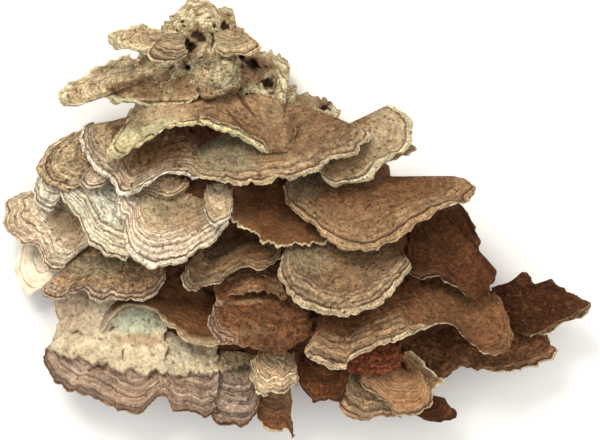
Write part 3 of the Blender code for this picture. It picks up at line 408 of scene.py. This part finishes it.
def even_points(points, count):
    """count points, evenly spaced along the smooth curve through the given ones, and its length.

    The given points are pairs, or x and y in turn.
    """
    p = np.array(points, float).reshape(-1, 2)
    ends = np.vstack([2 * p[0] - p[1], p, 2 * p[-1] - p[-2]])
    t = np.arange(0, 1, 1 / 16)[:, None]
    dense = []
    for i in range(len(p) - 1):
        a, b, c, d = ends[i:i + 4]
        dense.append(0.5 * (2 * b + (c - a) * t + (2 * a - 5 * b + 4 * c - d) * t ** 2
                            + (3 * b - a - 3 * c + d) * t ** 3))
    dense = np.vstack(dense + [p[-1:]])
    run = np.concatenate([[0], np.cumsum(np.linalg.norm(np.diff(dense, axis=0), axis=1))])
    wanted = np.linspace(0, run[-1], count)
    return np.stack([np.interp(wanted, run, dense[:, k]) for k in range(2)], axis=1), run[-1]


def directions(line):
    """The directions along a line of points and out to the right of it, each one long."""
    along = np.gradient(line, axis=0)
    along /= np.linalg.norm(along, axis=1)[:, None]
    return along, np.stack([along[:, 1], -along[:, 0]], axis=1)


def level(heights, u):
    """The height at share u of the way along, by the parabola through both ends and the middle."""
    left, middle, right = heights
    return left * (1 - u) * (1 - 2 * u) + middle * 4 * u * (1 - u) + right * u * (2 * u - 1)


def noise(x, y, seed):
    """Smooth noise from -1 to 1, with one bump to a unit."""
    table = np.random.default_rng(seed).random((97, 97))
    x, y = np.broadcast_arrays(np.asarray(x, float), np.asarray(y, float))
    i, j = np.floor(x).astype(int), np.floor(y).astype(int)
    fx, fy = x - i, y - j
    fx, fy = fx * fx * (3 - 2 * fx), fy * fy * (3 - 2 * fy)
    i, j, k, m = i % 97, j % 97, (i + 1) % 97, (j + 1) % 97
    low = table[i, j] * (1 - fx) + table[k, j] * fx
    high = table[i, m] * (1 - fx) + table[k, m] * fx
    return 2 * (low * (1 - fy) + high * fy) - 1


def noises(x, y, *parts):
    """The sum of some noises, each with its strength, its size in mm and its seed."""
    return sum(strength * noise(x / size, y / size, seed) for strength, size, seed in parts)


def lumps(x, y, size, seed):
    """Round lumps from 0 to 1 packed side by side, with creases between them."""
    spots = np.random.default_rng(seed).random((83, 83, 2))
    x, y = x / size, y / size
    i, j = np.floor(x).astype(int), np.floor(y).astype(int)
    near = np.full(x.shape, 9.0)
    for k in (-1, 0, 1):
        for m in (-1, 0, 1):
            spot = spots[(i + k) % 83, (j + m) % 83]
            near = np.minimum(near, np.hypot(i + k + spot[..., 0] - x, j + m + spot[..., 1] - y))
    return np.sqrt(np.maximum(0, 1 - 1.25 * near ** 2))


def mesh_of(name, places, wrap, attributes):
    """A mesh of a grid of places, with its rows joined round where wrap is set."""
    columns, rows = places.shape[:2]
    index = np.arange(columns * rows).reshape(columns, rows)
    if wrap:
        index = np.concatenate([index, index[:, :1]], axis=1)
    corners = np.stack([index[:-1, :-1], index[1:, :-1], index[1:, 1:], index[:-1, 1:]], axis=-1)
    mesh = bpy.data.meshes.new(name)
    mesh.vertices.add(columns * rows)
    mesh.vertices.foreach_set("co", places.reshape(-1))
    mesh.loops.add(corners.size)
    mesh.loops.foreach_set("vertex_index", corners.reshape(-1).astype(np.int32))
    mesh.polygons.add(corners.size // 4)
    mesh.polygons.foreach_set("loop_start", np.arange(0, corners.size, 4, dtype=np.int32))
    mesh.update(calc_edges=True)
    mesh.shade_smooth()
    for key, values in attributes.items():
        layer = mesh.attributes.new(key, "FLOAT_VECTOR", "POINT")
        vectors = np.stack(np.broadcast_arrays(*values), axis=-1)
        layer.data.foreach_set("vector", vectors.astype(np.float32).reshape(-1))
    return mesh


def patch_cover(patch, x, y, seed):
    """How much a patch covers each place: all of its middle, with a ragged edge."""
    turn = math.radians(patch.turn)
    dx, dy = x - patch.x, y - patch.y
    away = np.hypot((dx * math.cos(turn) + dy * math.sin(turn)) / patch.wide,
                    (dy * math.cos(turn) - dx * math.sin(turn)) / patch.high)
    away = away + 0.28 * noise(x / 2.6, y / 2.6, seed) + 0.14 * noise(x / 0.9, y / 0.9, seed + 3)
    return patch.share * np.clip((1.1 - away) / 0.45, 0, 1)


class Sheet:
    """The grid that a cap is drawn on: u runs along the margin, v from the root (0) to the margin (1).

    Its rows go over the top to the margin and back below. Distance is how far a place is from the
    margin, and broad is the same but with the narrow stretches of the cap stretched, as its zones are.
    """

    def __init__(self, cap, seed):
        self.seed = seed
        _, self.arc = even_points(cap.margin, 2)
        columns = int(self.arc / CELL) + 1
        self.margin, _ = even_points(cap.margin, columns)
        self.root, _ = even_points(cap.root, columns)
        self.tangent, self.outward = directions(self.margin)
        reach = np.linalg.norm(self.margin - self.root, axis=1)
        rows = int(reach.max() / CELL) + 3
        under_rows = int(reach.max() / UNDER_CELL) + 3
        top = 1 - (1 - np.linspace(0, 1, rows)) ** ROW_BIAS
        under = 1 - np.linspace(0, 1, under_rows)[1:] ** ROW_BIAS
        self.v = np.concatenate([top, under])[None, :]
        self.is_under = (np.arange(self.v.shape[1]) >= rows)[None, :]
        self.u = np.linspace(0, 1, columns)[:, None]
        self.along = self.u * self.arc
        self.from_end = np.minimum(self.along, self.arc - self.along)
        self.ends = np.clip(self.from_end / END_FADE, 0, 1)
        self.distance = (1 - self.v) * reach[:, None]
        self.broad = (1 - self.v) * np.sqrt(reach.max() * reach[:, None])

    def noise(self, length, width, number):
        """Noise with bumps of a length along the margin and a width across it."""
        return noise(self.along / length, self.broad / width, self.seed + number)

    def flat(self, look):
        """Places as seen from above, with the margin's frills and teeth and the cap's ragged ends."""
        along, broad, v, seed = self.along, self.broad, self.v, self.seed
        frill = (look.frill * (0.55 * noise(along / 4.2, 0, seed) + 0.4 * noise(along / 1.7, 3, seed + 1))
                 + look.teeth * noise(along / 0.62, 5, seed + 2)) * self.ends
        frill = frill * np.clip(1 - self.distance / 5, 0, 1) ** 1.5
        flat = (self.root[:, None, :] * (1 - v[..., None]) + self.margin[:, None, :] * v[..., None]
                + self.outward[:, None, :] * frill[..., None])
        sway = 1.1 * np.clip(1 - self.from_end / 4, 0, 1) ** 1.5
        side = self.u * 9
        sway = sway * (noise(broad / 2.6, side, seed + 21) + 0.5 * noise(broad / 1.1, side, seed + 22))
        return flat + self.tangent[:, None, :] * (sway * np.clip(self.distance, 0, 1))[..., None]

    def body(self, cap, look):
        """Heights of the smooth body, from the root to the margin, bulged and pleated."""
        v = self.v
        rise = 1 - (1 - v) ** 1.4
        body = level(cap.root_z, self.u) * (1 - rise) + level(cap.margin_z, self.u) * rise
        body = body + cap.crown * 4 * v * (1 - v)
        pleats = 0.9 * self.noise(8, 30, 3) + 0.5 * self.noise(3.4, 14, 4)
        return body + look.pleat * self.ends * v ** 2 * pleats

    def zone(self):
        """How far in from the margin each place is, in mm, as the wavy growth zones have it."""
        zone = self.broad + 0.8 * self.noise(7, 9, 5) * np.clip(self.broad / 4, 0.2, 1)
        return np.maximum(zone + 0.35 * self.noise(2.2, 4, 6) * np.clip(self.broad / 2, 0.3, 1), 0)

    def faces(self, cap, body, relief):
        """Heights of both faces, which meet in a round edge at the margin."""
        thickness = (cap.flesh * (1 - self.v) + MARGIN_THICKNESS * self.v) * (0.15 + 0.85 * self.ends)
        r = np.minimum(0.5 * MARGIN_THICKNESS, 0.5 * thickness)
        roll = r * (1 - np.sqrt(1 - np.clip(1 - self.distance / r, 0, 1) ** 2))
        teeth = 0.22 * self.noise(0.9, 0.9, 9)
        edge_fade = np.clip(self.distance / 0.8, 0, 1)
        over = body + relief * edge_fade * self.ends - roll
        under = body - thickness + roll + teeth * edge_fade * self.ends
        return np.maximum(np.where(self.is_under, under, over), LOWEST)

    def stretch(self, span):
        """1 where the margin is between two shares of its length, with a soft change at each of them."""
        wander = 0.06 * noise(self.along / 5, 2, self.seed + 14)
        after = np.clip((self.u + wander - span[0]) / 0.08 + 0.5, 0, 1)
        return after * np.clip((span[1] - self.u + wander) / 0.08 + 0.5, 0, 1)


def zone_edges(look, rng):
    """Where the growth zones start, in mm from the margin."""
    edges = [0.0, look.width]
    while edges[-1] < 60:
        edges.append(edges[-1] + look.step * rng.uniform(0.6, 1.5))
    return np.array(edges)


def zone_relief(zone, edges, strengths, strong):
    """How far each place swells within its growth zone, most in the strong ones."""
    k = np.clip(np.searchsorted(edges, zone, side="right") - 1, 0, len(edges) - 2)
    share = (zone - edges[k]) / (edges[k + 1] - edges[k])
    strength = strengths[k] * np.where(k <= strong, 0.42, 0.14)
    return strength * (np.sin(math.pi * np.clip(share, 0, 1)) ** 0.7 + 0.35 * (1 - share))


def lump_relief(look, x, y, zone, seed):
    """The height of a cap's lumps, and how far each place is in a hollow between them."""
    if not look.lump:
        return np.zeros_like(x), np.zeros_like(x)
    sway = 0.8 * noise(x / 2.1, y / 2.1, seed + 20)
    rough = lumps(x + sway, y - sway, 2.9, seed + 12) + 0.6 * lumps(x, y - sway, 1.4, seed + 13) - 1.25
    fade = np.clip((look.reach - zone) / 1.2, 0, 1)
    return 1.5 * look.lump * rough * fade, np.clip(-1.6 * rough - 0.1, 0, 1) * fade


def tiers(look, x, y):
    """How far each place is past the ledge, whether it is on the upper tier, its folds and their fade."""
    if not look.ledge:
        return np.zeros((4,) + x.shape)
    line_x, line_y = np.array(LEDGE, float).T
    ragged = 1.1 * noise(x / 2.4, 8, 310) + 0.6 * noise(x / 0.9, 9, 311) + 0.5 * noise(x / 1.5, y / 1.5, 312)
    past = y - np.interp(x, line_x, line_y) - ragged
    folds = 1 - 2 * np.abs(noise(x / 1.7, y / 7, 314)) + 0.6 * noise(x / 0.9, y / 5, 315)
    return past, np.clip(past / 0.7, 0, 1), folds, np.exp(-np.maximum(past, 0) / 3.5)


def cap_covers(look, x, y, tier, seed):
    """What covers the zones' colours, in order: each colour and how much of each place it covers."""
    covers = []
    if look.ledge:
        past, upper, folds, fade = tier
        # painted shadow: a dark band just below the step of the ledge; then painted shade in the troughs of
        # the folds on the upper tier
        dark = 0.75 * np.exp(-((past + 0.35) / 0.45) ** 2) * np.clip(0.6 + noise(x / 2, 4, 313), 0, 1)
        fold_shade = 0.6 * np.clip(-folds, 0, 1) * upper * fade
        covers = [(look.inner, 0.95 * upper), (FAWN, fold_shade), (DARK, dark)]
    for patch in look.patches:
        covers.append((patch.colour, patch_cover(patch, x, y, seed + 16 + len(covers))))
    return covers


def laid_over(covers, ground, shape):
    """The colour that covers give where they are laid over each other, and how much they cover."""
    weight = np.zeros(shape)
    tint = np.zeros(shape + (3,)) + np.array(paint(ground))[:3]
    for colour, cover in covers:
        total = weight + cover - weight * cover
        mixing = (cover / np.maximum(total, 1e-6))[..., None]
        tint = tint * (1 - mixing) + np.array(paint(colour))[:3] * mixing
        weight = total
    return np.moveaxis(tint, -1, 0), weight


def cap_mesh(cap, look, seed):
    """A cap's mesh, and where its growth zones start."""
    rng = np.random.default_rng(seed)
    edges = zone_edges(look, rng)
    strengths = rng.uniform(0.6, 1.0, len(edges))
    sheet = Sheet(cap, seed)
    flat = sheet.flat(look)
    x, y = flat[..., 0], flat[..., 1]
    zone = sheet.zone()
    relief = zone_relief(zone, edges, strengths, look.strong)
    relief = relief + look.grain * (0.14 * noise(sheet.along / 1.1, zone / 5, seed + 7)
                                    + 0.13 * noise(sheet.along / 0.6, zone / 0.8, seed + 8))
    raised, hollow = lump_relief(look, x, y, zone, seed)
    tier = tiers(look, x, y)
    _, upper, folds, fade = tier
    relief = relief + raised - look.ledge * (1 - upper) * np.clip(zone / 4, 0, 1)
    relief = relief + 0.8 * folds * upper * fade
    places = seen(x, y, sheet.faces(cap, sheet.body(cap, look), relief))
    # what the shader reads: places along and in from the margin, how far the lines show, and the patches
    shown, edged = sheet.stretch(look.shown), sheet.stretch(look.edged or look.shown)
    lines = np.clip(1.05 + 0.6 * noise(sheet.along / 5.5, zone / 2.6, seed + 15), 0.1, 1)
    lines = lines * (0.4 + 0.6 * shown)
    tint, weight = laid_over(cap_covers(look, x, y, tier, seed), look.body, x.shape)
    weight = weight * np.clip((zone - 0.6 * look.width) / 1.5, 0, 1)
    pale = edges[look.strong + 1] + 0.6
    paler = zone + (1 - shown) * (1 - edged * (zone < 0.6)) * pale * np.clip(1.5 - zone / pale, 0, 1)
    # below 0 in the hollows between lumps, for the shader's painted shade there
    lines = lines * (1 - 0.4 * weight) * (1 - upper) * (1 - hollow) - hollow
    layers = {"grow": (sheet.along, paler, sheet.is_under), "show": (lines, weight, sheet.v), "tint": tint}
    return mesh_of(cap.name, places, True, layers), edges


class Shader:
    """A material with short names for the nodes that the looks need."""

    def __init__(self, name, roughness=0.88):
        self.material = bpy.data.materials.new(name)
        self.material.use_nodes = True
        self.tree = self.material.node_tree
        self.end = self.tree.nodes["Principled BSDF"]
        self.end.inputs["Roughness"].default_value = roughness
        self.end.inputs["Specular IOR Level"].default_value = 0.15

    def node(self, kind, inputs=(), **values):
        """A new node with its values and inputs set. An input is named, or numbered."""
        made = self.tree.nodes.new("ShaderNode" + kind)
        for key, value in values.items():
            setattr(made, key, value)
        for key, value in dict(inputs).items():
            self.put(made.inputs[key], value)
        return made

    def put(self, socket, value):
        if isinstance(value, bpy.types.NodeSocket):
            self.tree.links.new(value, socket)
        else:
            socket.default_value = value

    def maths(self, operation, a, b, clamp=False):
        return self.node("Math", {0: a, 1: b}, operation=operation, use_clamp=clamp).outputs[0]

    def plus(self, a, b):
        return self.maths("ADD", a, b)

    def times(self, a, b):
        return self.maths("MULTIPLY", a, b)

    def ranged(self, value, *limits):
        """A value taken smoothly from one range, low and high, to another, which is 0 to 1 by default."""
        inputs = dict(zip(("From Min", "From Max", "To Min", "To Max"), limits), Value=value)
        return self.node("MapRange", inputs, interpolation_type="SMOOTHSTEP").outputs[0]

    def noise(self, place, scale, detail=2.0, roughness=0.55):
        inputs = {"Vector": place, "Scale": scale, "Detail": detail, "Roughness": roughness}
        return self.node("TexNoise", inputs).outputs["Fac"]

    def cells(self, place, scale):
        """How far each place is from the middle of its cell: 0 at the middle."""
        inputs = {"Vector": place, "Scale": scale, "Smoothness": 0.3}
        return self.node("TexVoronoi", inputs, feature="SMOOTH_F1").outputs["Distance"]

    def mix(self, share, a, b, kind="MIX"):
        return self.node("Mix", {"Factor": share, 6: a, 7: b}, data_type="RGBA", blend_type=kind).outputs[2]

    def vector(self, x, y, z):
        return self.node("CombineXYZ", {0: x, 1: y, 2: z}).outputs[0]

    def split(self, vector):
        return self.node("SeparateXYZ", {0: vector}).outputs

    def attribute(self, name):
        return self.node("Attribute", attribute_name=name).outputs["Vector"]

    def shade(self, value, low, high, start=0.3, end=0.7):
        """A grey from low to high as value goes from start to end."""
        grey = self.ranged(value, start, end, low, high)
        return self.vector(grey, grey, grey)

    def jitter(self, value, pattern, size):
        """A value moved up or down by a pattern that has its mean at a half."""
        return self.plus(value, self.times(self.maths("SUBTRACT", pattern, 0.5), size))

    def ramp(self, value, stops):
        """The colour at a distance in mm, from stops of distance and colour."""
        span = stops[-1][0] + 1.0
        made = self.node("ValToRGB", {0: self.maths("DIVIDE", value, span)})
        elements = made.color_ramp.elements
        elements[0].position = 0.0
        elements[0].color = stops[0][1]
        elements[1].position = 1.0
        elements[1].color = stops[-1][1]
        for start, colour in stops[1:]:
            elements.new(start / span).color = colour
        return made.outputs[0]

    def finish(self, colour, height, depth):
        """Gives the surface its colour, and its small relief with a depth in mm."""
        bump = self.node("Bump", {"Strength": 1.0, "Distance": depth * MM, "Height": height})
        self.put(self.end.inputs["Base Color"], colour)
        self.put(self.end.inputs["Normal"], bump.outputs[0])
        return self.material


def zone_colours(look, edges, rng):
    """Colour stops over the distance from the margin, at most 31: the edge, the rim and then the zones."""
    rim, body, inner = (np.array(c, float) for c in (look.rim, look.body, look.inner))
    edge = np.array(look.edge or look.rim, float)
    # the first 0.45 mm is the very edge: a pale margin with a painted highlight on it
    stops = [(0.0, edge), (0.45, edge), (0.6, rim * 0.96), (max(0.7, look.width - 0.3), rim)]
    for k, (start, end) in enumerate(zip(edges[1:-1], edges[2:])):
        if len(stops) > 28:
            break
        depth = 0.0 if look.ledge else min(1.0, max(0.0, start - look.width) / 14)
        base = body * (1 - depth) + inner * depth
        if k < look.strong:
            base = 0.5 * rim + 0.5 * base
        first, second = 1 + look.bands * rng.uniform(-1, 1, 2)
        stops += [(start + 0.15, base * first), (end - 0.15, base * second)]
    return [(start, paint(np.clip(colour, 0, 255))) for start, colour in stops]


def zone_lines(look, edges, rng):
    """How dark the line is at each distance from the margin, at most 31 stops."""
    stops = [(0.0, 0.0)]
    for k, start in enumerate(edges[1:11]):
        strength = rng.choice((0.12, 0.25, 0.6), p=(0.4, 0.35, 0.25))
        if k < look.strong:
            strength = 1.0 if k == 0 else rng.uniform(0.35, 0.95)
        wide = 0.42 if k < look.strong else 0.08
        stops += [(start - 0.2 - 0.4 * wide, 0.0), (start, strength), (start + 0.4 + 1.6 * wide, 0.0)]
    return [(start, (value, value, value, 1)) for start, value in stops]


def cap_material(cap, look, edges, seed):
    rng = np.random.default_rng(seed + 50)
    s = Shader(cap.name + "_looks")
    along, zone, under = s.split(s.attribute("grow"))
    line_share, cover, _ = s.split(s.attribute("show"))
    place = s.node("TexCoord").outputs["Object"]
    fine = s.noise(place, 560, 4, 0.6)
    grains = s.noise(place, 1200, 5, 0.75)
    specks = s.noise(place, 760, 2, 0.5)
    blotches = s.noise(place, 130, 4, 0.6)
    warmth = s.noise(place, 60, 3, 0.5)
    fibres = s.noise(s.vector(s.times(along, 1.9), s.times(zone, 0.5), seed * 1.7), 1.0, 4)
    streaks = s.noise(s.vector(s.times(along, 0.22), s.times(zone, 1.5), seed), 1.0, 4, 0.6)
    # the zones and the patches over them
    wobbled = s.jitter(zone, fine, 1.2)
    colour = s.ramp(wobbled, zone_colours(look, edges, rng))
    line = s.ramp(wobbled, zone_lines(look, edges, rng))
    colour = s.mix(cover, colour, s.attribute("tint"))
    # the texture: each pattern with how far it darkens and lightens, and from where to where it does so
    g = 0.1 * look.grain
    streaked = 2.2 * min(g, 0.13)
    bare = s.maths("SUBTRACT", 1.0, s.times(cover, 0.75))
    for share, pattern, darker, lighter, start, end in (
            (bare, fibres, 1.3 * g, 1.0 * g, 0.3, 0.7), (1.0, grains, 1.9 * g, 1.8 * g, 0.36, 0.64),
            (1.0, fine, 1.3 * g, 1.1 * g, 0.36, 0.64), (bare, streaks, streaked, streaked, 0.38, 0.62),
            (1.0, blotches, 0.22, 0.2, 0.3, 0.7)):
        colour = s.mix(share, colour, s.shade(pattern, 1 - darker, 1 + lighter, start, end), "MULTIPLY")
    warm = s.mix(s.ranged(warmth, 0.35, 0.65), (0.99, 1.02, 1.03, 1), (1.06, 1.0, 0.94, 1))
    colour = s.mix(1.0, colour, warm, "MULTIPLY")
    colour = s.mix(s.ranged(specks, 0.42, 0.30, 0.0, min(0.9, 5 * g)), colour, paint(DARK))
    pale = 0.5 * np.array(look.body) + 0.5 * np.array(look.rim)
    colour = s.mix(s.ranged(specks, 0.60, 0.72, 0.0, min(0.5, 3 * g)), colour, paint(pale))
    # painted shade: bark brown in the hollows between lumps, where the share of the lines is below 0, and
    # then the lines
    hollow = s.maths("MULTIPLY", line_share, -1.3, clamp=True)
    colour = s.mix(s.times(hollow, 0.75), colour, paint(BARK))
    colour = s.mix(s.times(line, s.maths("MAXIMUM", line_share, 0.0)), colour, paint(VIOLET))
    colour = s.mix(under, colour, s.mix(grains, paint(PORES), paint(PORE_WALLS)))
    return s.finish(colour, s.plus(s.times(fibres, 0.5), grains), 0.5 + 0.3 * look.grain)


def show(mesh, material, node):
    """Puts a mesh in the scene as the looks of a node."""
    obj = bpy.data.objects.new(node + "_looks", mesh)
    bpy.context.scene.collection.objects.link(obj)
    mesh.materials.append(material)
    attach(obj, "root")
    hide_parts(node)


def crust_supports():
    """What holds the crust up: the crown's lumps and five places along each cap's root."""
    places = [np.array(CROWN_LUMPS, float)]
    for cap in CAPS:
        root, _ = even_points(cap.root, 5)
        places.append(np.column_stack([root, level(cap.root_z, np.linspace(0, 1, 5)) + 0.5]))
    return seen(*np.vstack(places).T)


def crust_rim():
    """The crust's ragged outline, with its points closer together round the crown."""
    steps = np.arange(RIM_STEPS)
    rim, _ = even_points(CRUST_OUTLINE + CRUST_OUTLINE[:1], RIM_STEPS)
    weight = 1 + 1.6 * (rim[:, 1] > CROWN_START)
    run = np.concatenate([[0], np.cumsum((weight[1:] + weight[:-1]) / 2)])
    pick = np.interp(np.linspace(0, run[-1], CRUST_SPOKES + 1), run, steps)
    rim = np.stack([np.interp(pick, steps, rim[:, k]) for k in range(2)], axis=1)
    _, outward = directions(rim)
    ragged = noises(rim[:, 0], rim[:, 1], (1.0, 3.1, 900), (0.9, 1.3, 901), (0.5, 0.6, 902))
    return rim + outward * ragged[:, None]


def crust_heights(x, y):
    """The lumpy height of the crust, how far each place is in a pit, and in a crease between lumps."""
    base = seen(x, y, np.full_like(x, CRUST_LEVEL))
    height = np.zeros_like(x)
    total = np.zeros_like(x)
    for px, py, pz in crust_supports():
        w = 1 / ((base[..., 0] - px) ** 2 + (base[..., 1] - py) ** 2 + (2.5 * MM) ** 2) ** 1.6
        height += w * pz
        total += w
    dents = noises(x, y, (1.1, 3.3, 905), (0.5, 1.2, 906))
    large, small = lumps(x + dents, y - dents, 6.5, 910), lumps(x + dents, y + dents, 2.7, 911)
    bumps = 3.8 * large + 2.8 * small + 1.1 * lumps(x, y, 1.3, 912) + 0.4 * noise(x / 0.7, y / 0.7, 913)
    pit = np.zeros_like(x)
    for px, py, radius in CROWN_PITS:
        away = np.hypot(x - px + 0.9 * dents, y - py - 0.7 * dents) / radius
        pit = np.maximum(pit, np.exp(-away ** 3))
    height = height / total / MM + bumps - CRUST_SINK - PIT_DEPTH * pit
    # it rises towards each cap's root
    for cap in CAPS:
        root, _ = even_points(cap.root, 15)
        for k, (px, py) in enumerate(root[1:-1]):
            hold = np.exp(-((x - px) ** 2 + (y - py) ** 2) ** 2 / ROOT_HOLD ** 4)
            height = np.maximum(height, hold * (level(cap.root_z, (k + 1) / 14) - ROOT_COVER))
    # how deep in a crease each place is, which the shader paints dark as shade
    crease = np.clip(1.25 - large, 0, 1) ** 2 + np.clip(1.1 - small, 0, 1) ** 2
    return height, pit, crease


def crust_mesh():
    """The crust as rings round its middle, then its wall, foot and flat back."""
    rim = crust_rim()
    centre = np.array(CRUST_CENTRE, float)
    share = 0.02 + 0.98 * np.linspace(0, 1, CRUST_RINGS) ** 0.75
    flat = centre + (rim[:, None, :] - centre) * share[None, :, None]
    x, y = flat[..., 0], flat[..., 1]
    height, pit, crease = crust_heights(x, y)
    height = CRUST_WALL + (height - CRUST_WALL) * np.sqrt(np.maximum(0, 1 - share[None, :] ** 7))
    down = np.linspace(0, 1, FOOT_ROWS + 1)[1:]
    foot = flat[:, -1:, :] + (centre - flat[:, -1:, :]) * (FOOT_INSET * down[None, :, None])
    foot_z = np.broadcast_to(CRUST_WALL * (1 - down)[None, :], foot.shape[:2])
    middle = np.broadcast_to(centre, (len(rim), 1, 2))
    flat = np.concatenate([flat, foot, middle], axis=1)
    height = np.concatenate([height, foot_z, np.zeros((len(rim), 1))], axis=1)
    # painted shade: the crown's brown patches, less the pale flesh under the trough's lip
    shade = np.zeros_like(x)
    for number, patch in enumerate(CROWN_PAINTED_SHADE):
        shade = np.maximum(shade, patch_cover(patch, x, y, 920 + number))
    shade = shade - patch_cover(CRUST_PALE, x, y, 940)
    none = np.zeros((len(rim), FOOT_ROWS + 1))
    grow = [np.concatenate([values, none], axis=1) for values in (pit, crease, shade)]
    return mesh_of("crust", seen(flat[..., 0], flat[..., 1], height), False, {"grow": grow})


def crust_material():
    s = Shader("crust_looks", 0.92)
    pit, crease, shade = s.split(s.attribute("grow"))
    place = s.node("TexCoord").outputs["Object"]
    blotches = s.noise(place, 150, 4, 0.65)
    grains = s.noise(place, 1500, 4, 0.7)
    fine = s.noise(place, 420, 3)
    cells = s.cells(place, 520)
    holes = s.noise(place, 300, 2, 0.5)
    colour = s.mix(s.ranged(blotches, 0.42, 0.58), paint((172, 162, 118)), paint((236, 222, 182)))
    # the grain's tones, then painted shade: darker on the edges of the small cells and in the creases
    # between lumps, partly the creases' own dirt
    for pattern, start, end, most, tone in (
            (fine, 0.50, 0.62, 1.0, (160, 126, 88)), (grains, 0.54, 0.66, 1.0, (248, 240, 208)),
            (grains, 0.46, 0.34, 1.0, (104, 80, 52)), (cells, 0.55, 0.85, 1.0, (140, 116, 82)),
            (crease, 0.15, 0.55, 0.8, (128, 102, 68)), (crease, 0.5, 1.0, 1.0, (62, 42, 28))):
        colour = s.mix(s.ranged(pattern, start, end, 0.0, most), colour, paint(tone))
    # bark brown below the crown, then the painted shade of the crown's brown patches, and the pale places
    bark = s.mix(grains, paint(DARK), paint(RUST))
    colour = s.mix(s.ranged(s.split(place)[1], 0.028, 0.034), bark, colour)
    colour = s.mix(s.maths("MAXIMUM", shade, 0.0), colour, s.mix(grains, paint(BARK), paint(UMBER)))
    pale = s.maths("MULTIPLY", shade, -1.0, clamp=True)
    colour = s.mix(pale, colour, s.mix(grains, paint(MINT), paint(IVORY)))
    # painted shade: near black in small spots that stand for pits, and in the crown's pits
    colour = s.mix(s.ranged(holes, 0.36, 0.31), colour, paint((58, 42, 28)))
    colour = s.mix(s.ranged(s.jitter(pit, fine, 1.6), 0.25, 0.75), colour, paint((46, 30, 20)))
    deep = s.plus(s.times(cells, -0.7), s.ranged(holes, 0.30, 0.38))
    return s.finish(colour, s.plus(s.plus(grains, fine), deep), 0.9)


def plain_floor():
    mesh = bpy.data.meshes.new("floor")
    square = ((-1, -1), (1, -1), (1, 1), (-1, 1))
    mesh.from_pydata([(x * FLOOR_HALF, y * FLOOR_HALF, FLOOR_LEVEL) for x, y in square], [], [(0, 1, 2, 3)])
    floor = bpy.data.objects.new("floor", mesh)
    bpy.context.scene.collection.objects.link(floor)
    s = Shader("floor_paint", 0.9)
    s.end.inputs["Base Color"].default_value = (0.96, 0.96, 0.95, 1)
    mesh.materials.append(s.material)


def soft_light(name, place, size, power, colour):
    light = bpy.data.lights.new(name, "AREA")
    light.size = size
    light.energy = power
    light.color = colour
    obj = bpy.data.objects.new(name, light)
    obj.location = place
    obj.rotation_mode = "QUATERNION"
    obj.rotation_quaternion = (Vector((0, 0, 0.02)) - Vector(place)).to_track_quat("-Z", "Y")
    bpy.context.scene.collection.objects.link(obj)


def light_and_camera():
    scene = bpy.context.scene
    world = bpy.data.worlds.new("studio")
    world.use_nodes = True
    world.node_tree.nodes["Background"].inputs["Color"].default_value = (1.0, 0.98, 0.95, 1)
    world.node_tree.nodes["Background"].inputs["Strength"].default_value = 0.92
    scene.world = world
    soft_light("key", (-0.3, 0.6, 0.75), 0.4, 6.8, (1.0, 0.96, 0.88))
    soft_light("fill", (0.5, 0.1, 0.8), 0.6, 1.2, (1.0, 0.93, 0.84))
    scene.view_settings.view_transform = "Standard"
    camera = bpy.data.cameras.new("camera")
    camera.sensor_width = SENSOR
    camera.lens = SENSOR * (EYE_HEIGHT - OUTLINE_LEVEL) / FRAME_WIDTH
    eye = bpy.data.objects.new("camera", camera)
    eye.location = (0, 0, EYE_HEIGHT * MM)
    scene.collection.objects.link(eye)
    scene.camera = eye


def main():
    for number, cap in enumerate(CAPS):
        look = LOOKS[cap.name]
        seed = 11 + 20 * number
        mesh, edges = cap_mesh(cap, look, seed)
        show(mesh, cap_material(cap, look, edges, seed), cap.name)
    show(crust_mesh(), crust_material(), "crust_base")
    plain_floor()
    light_and_camera()


main()
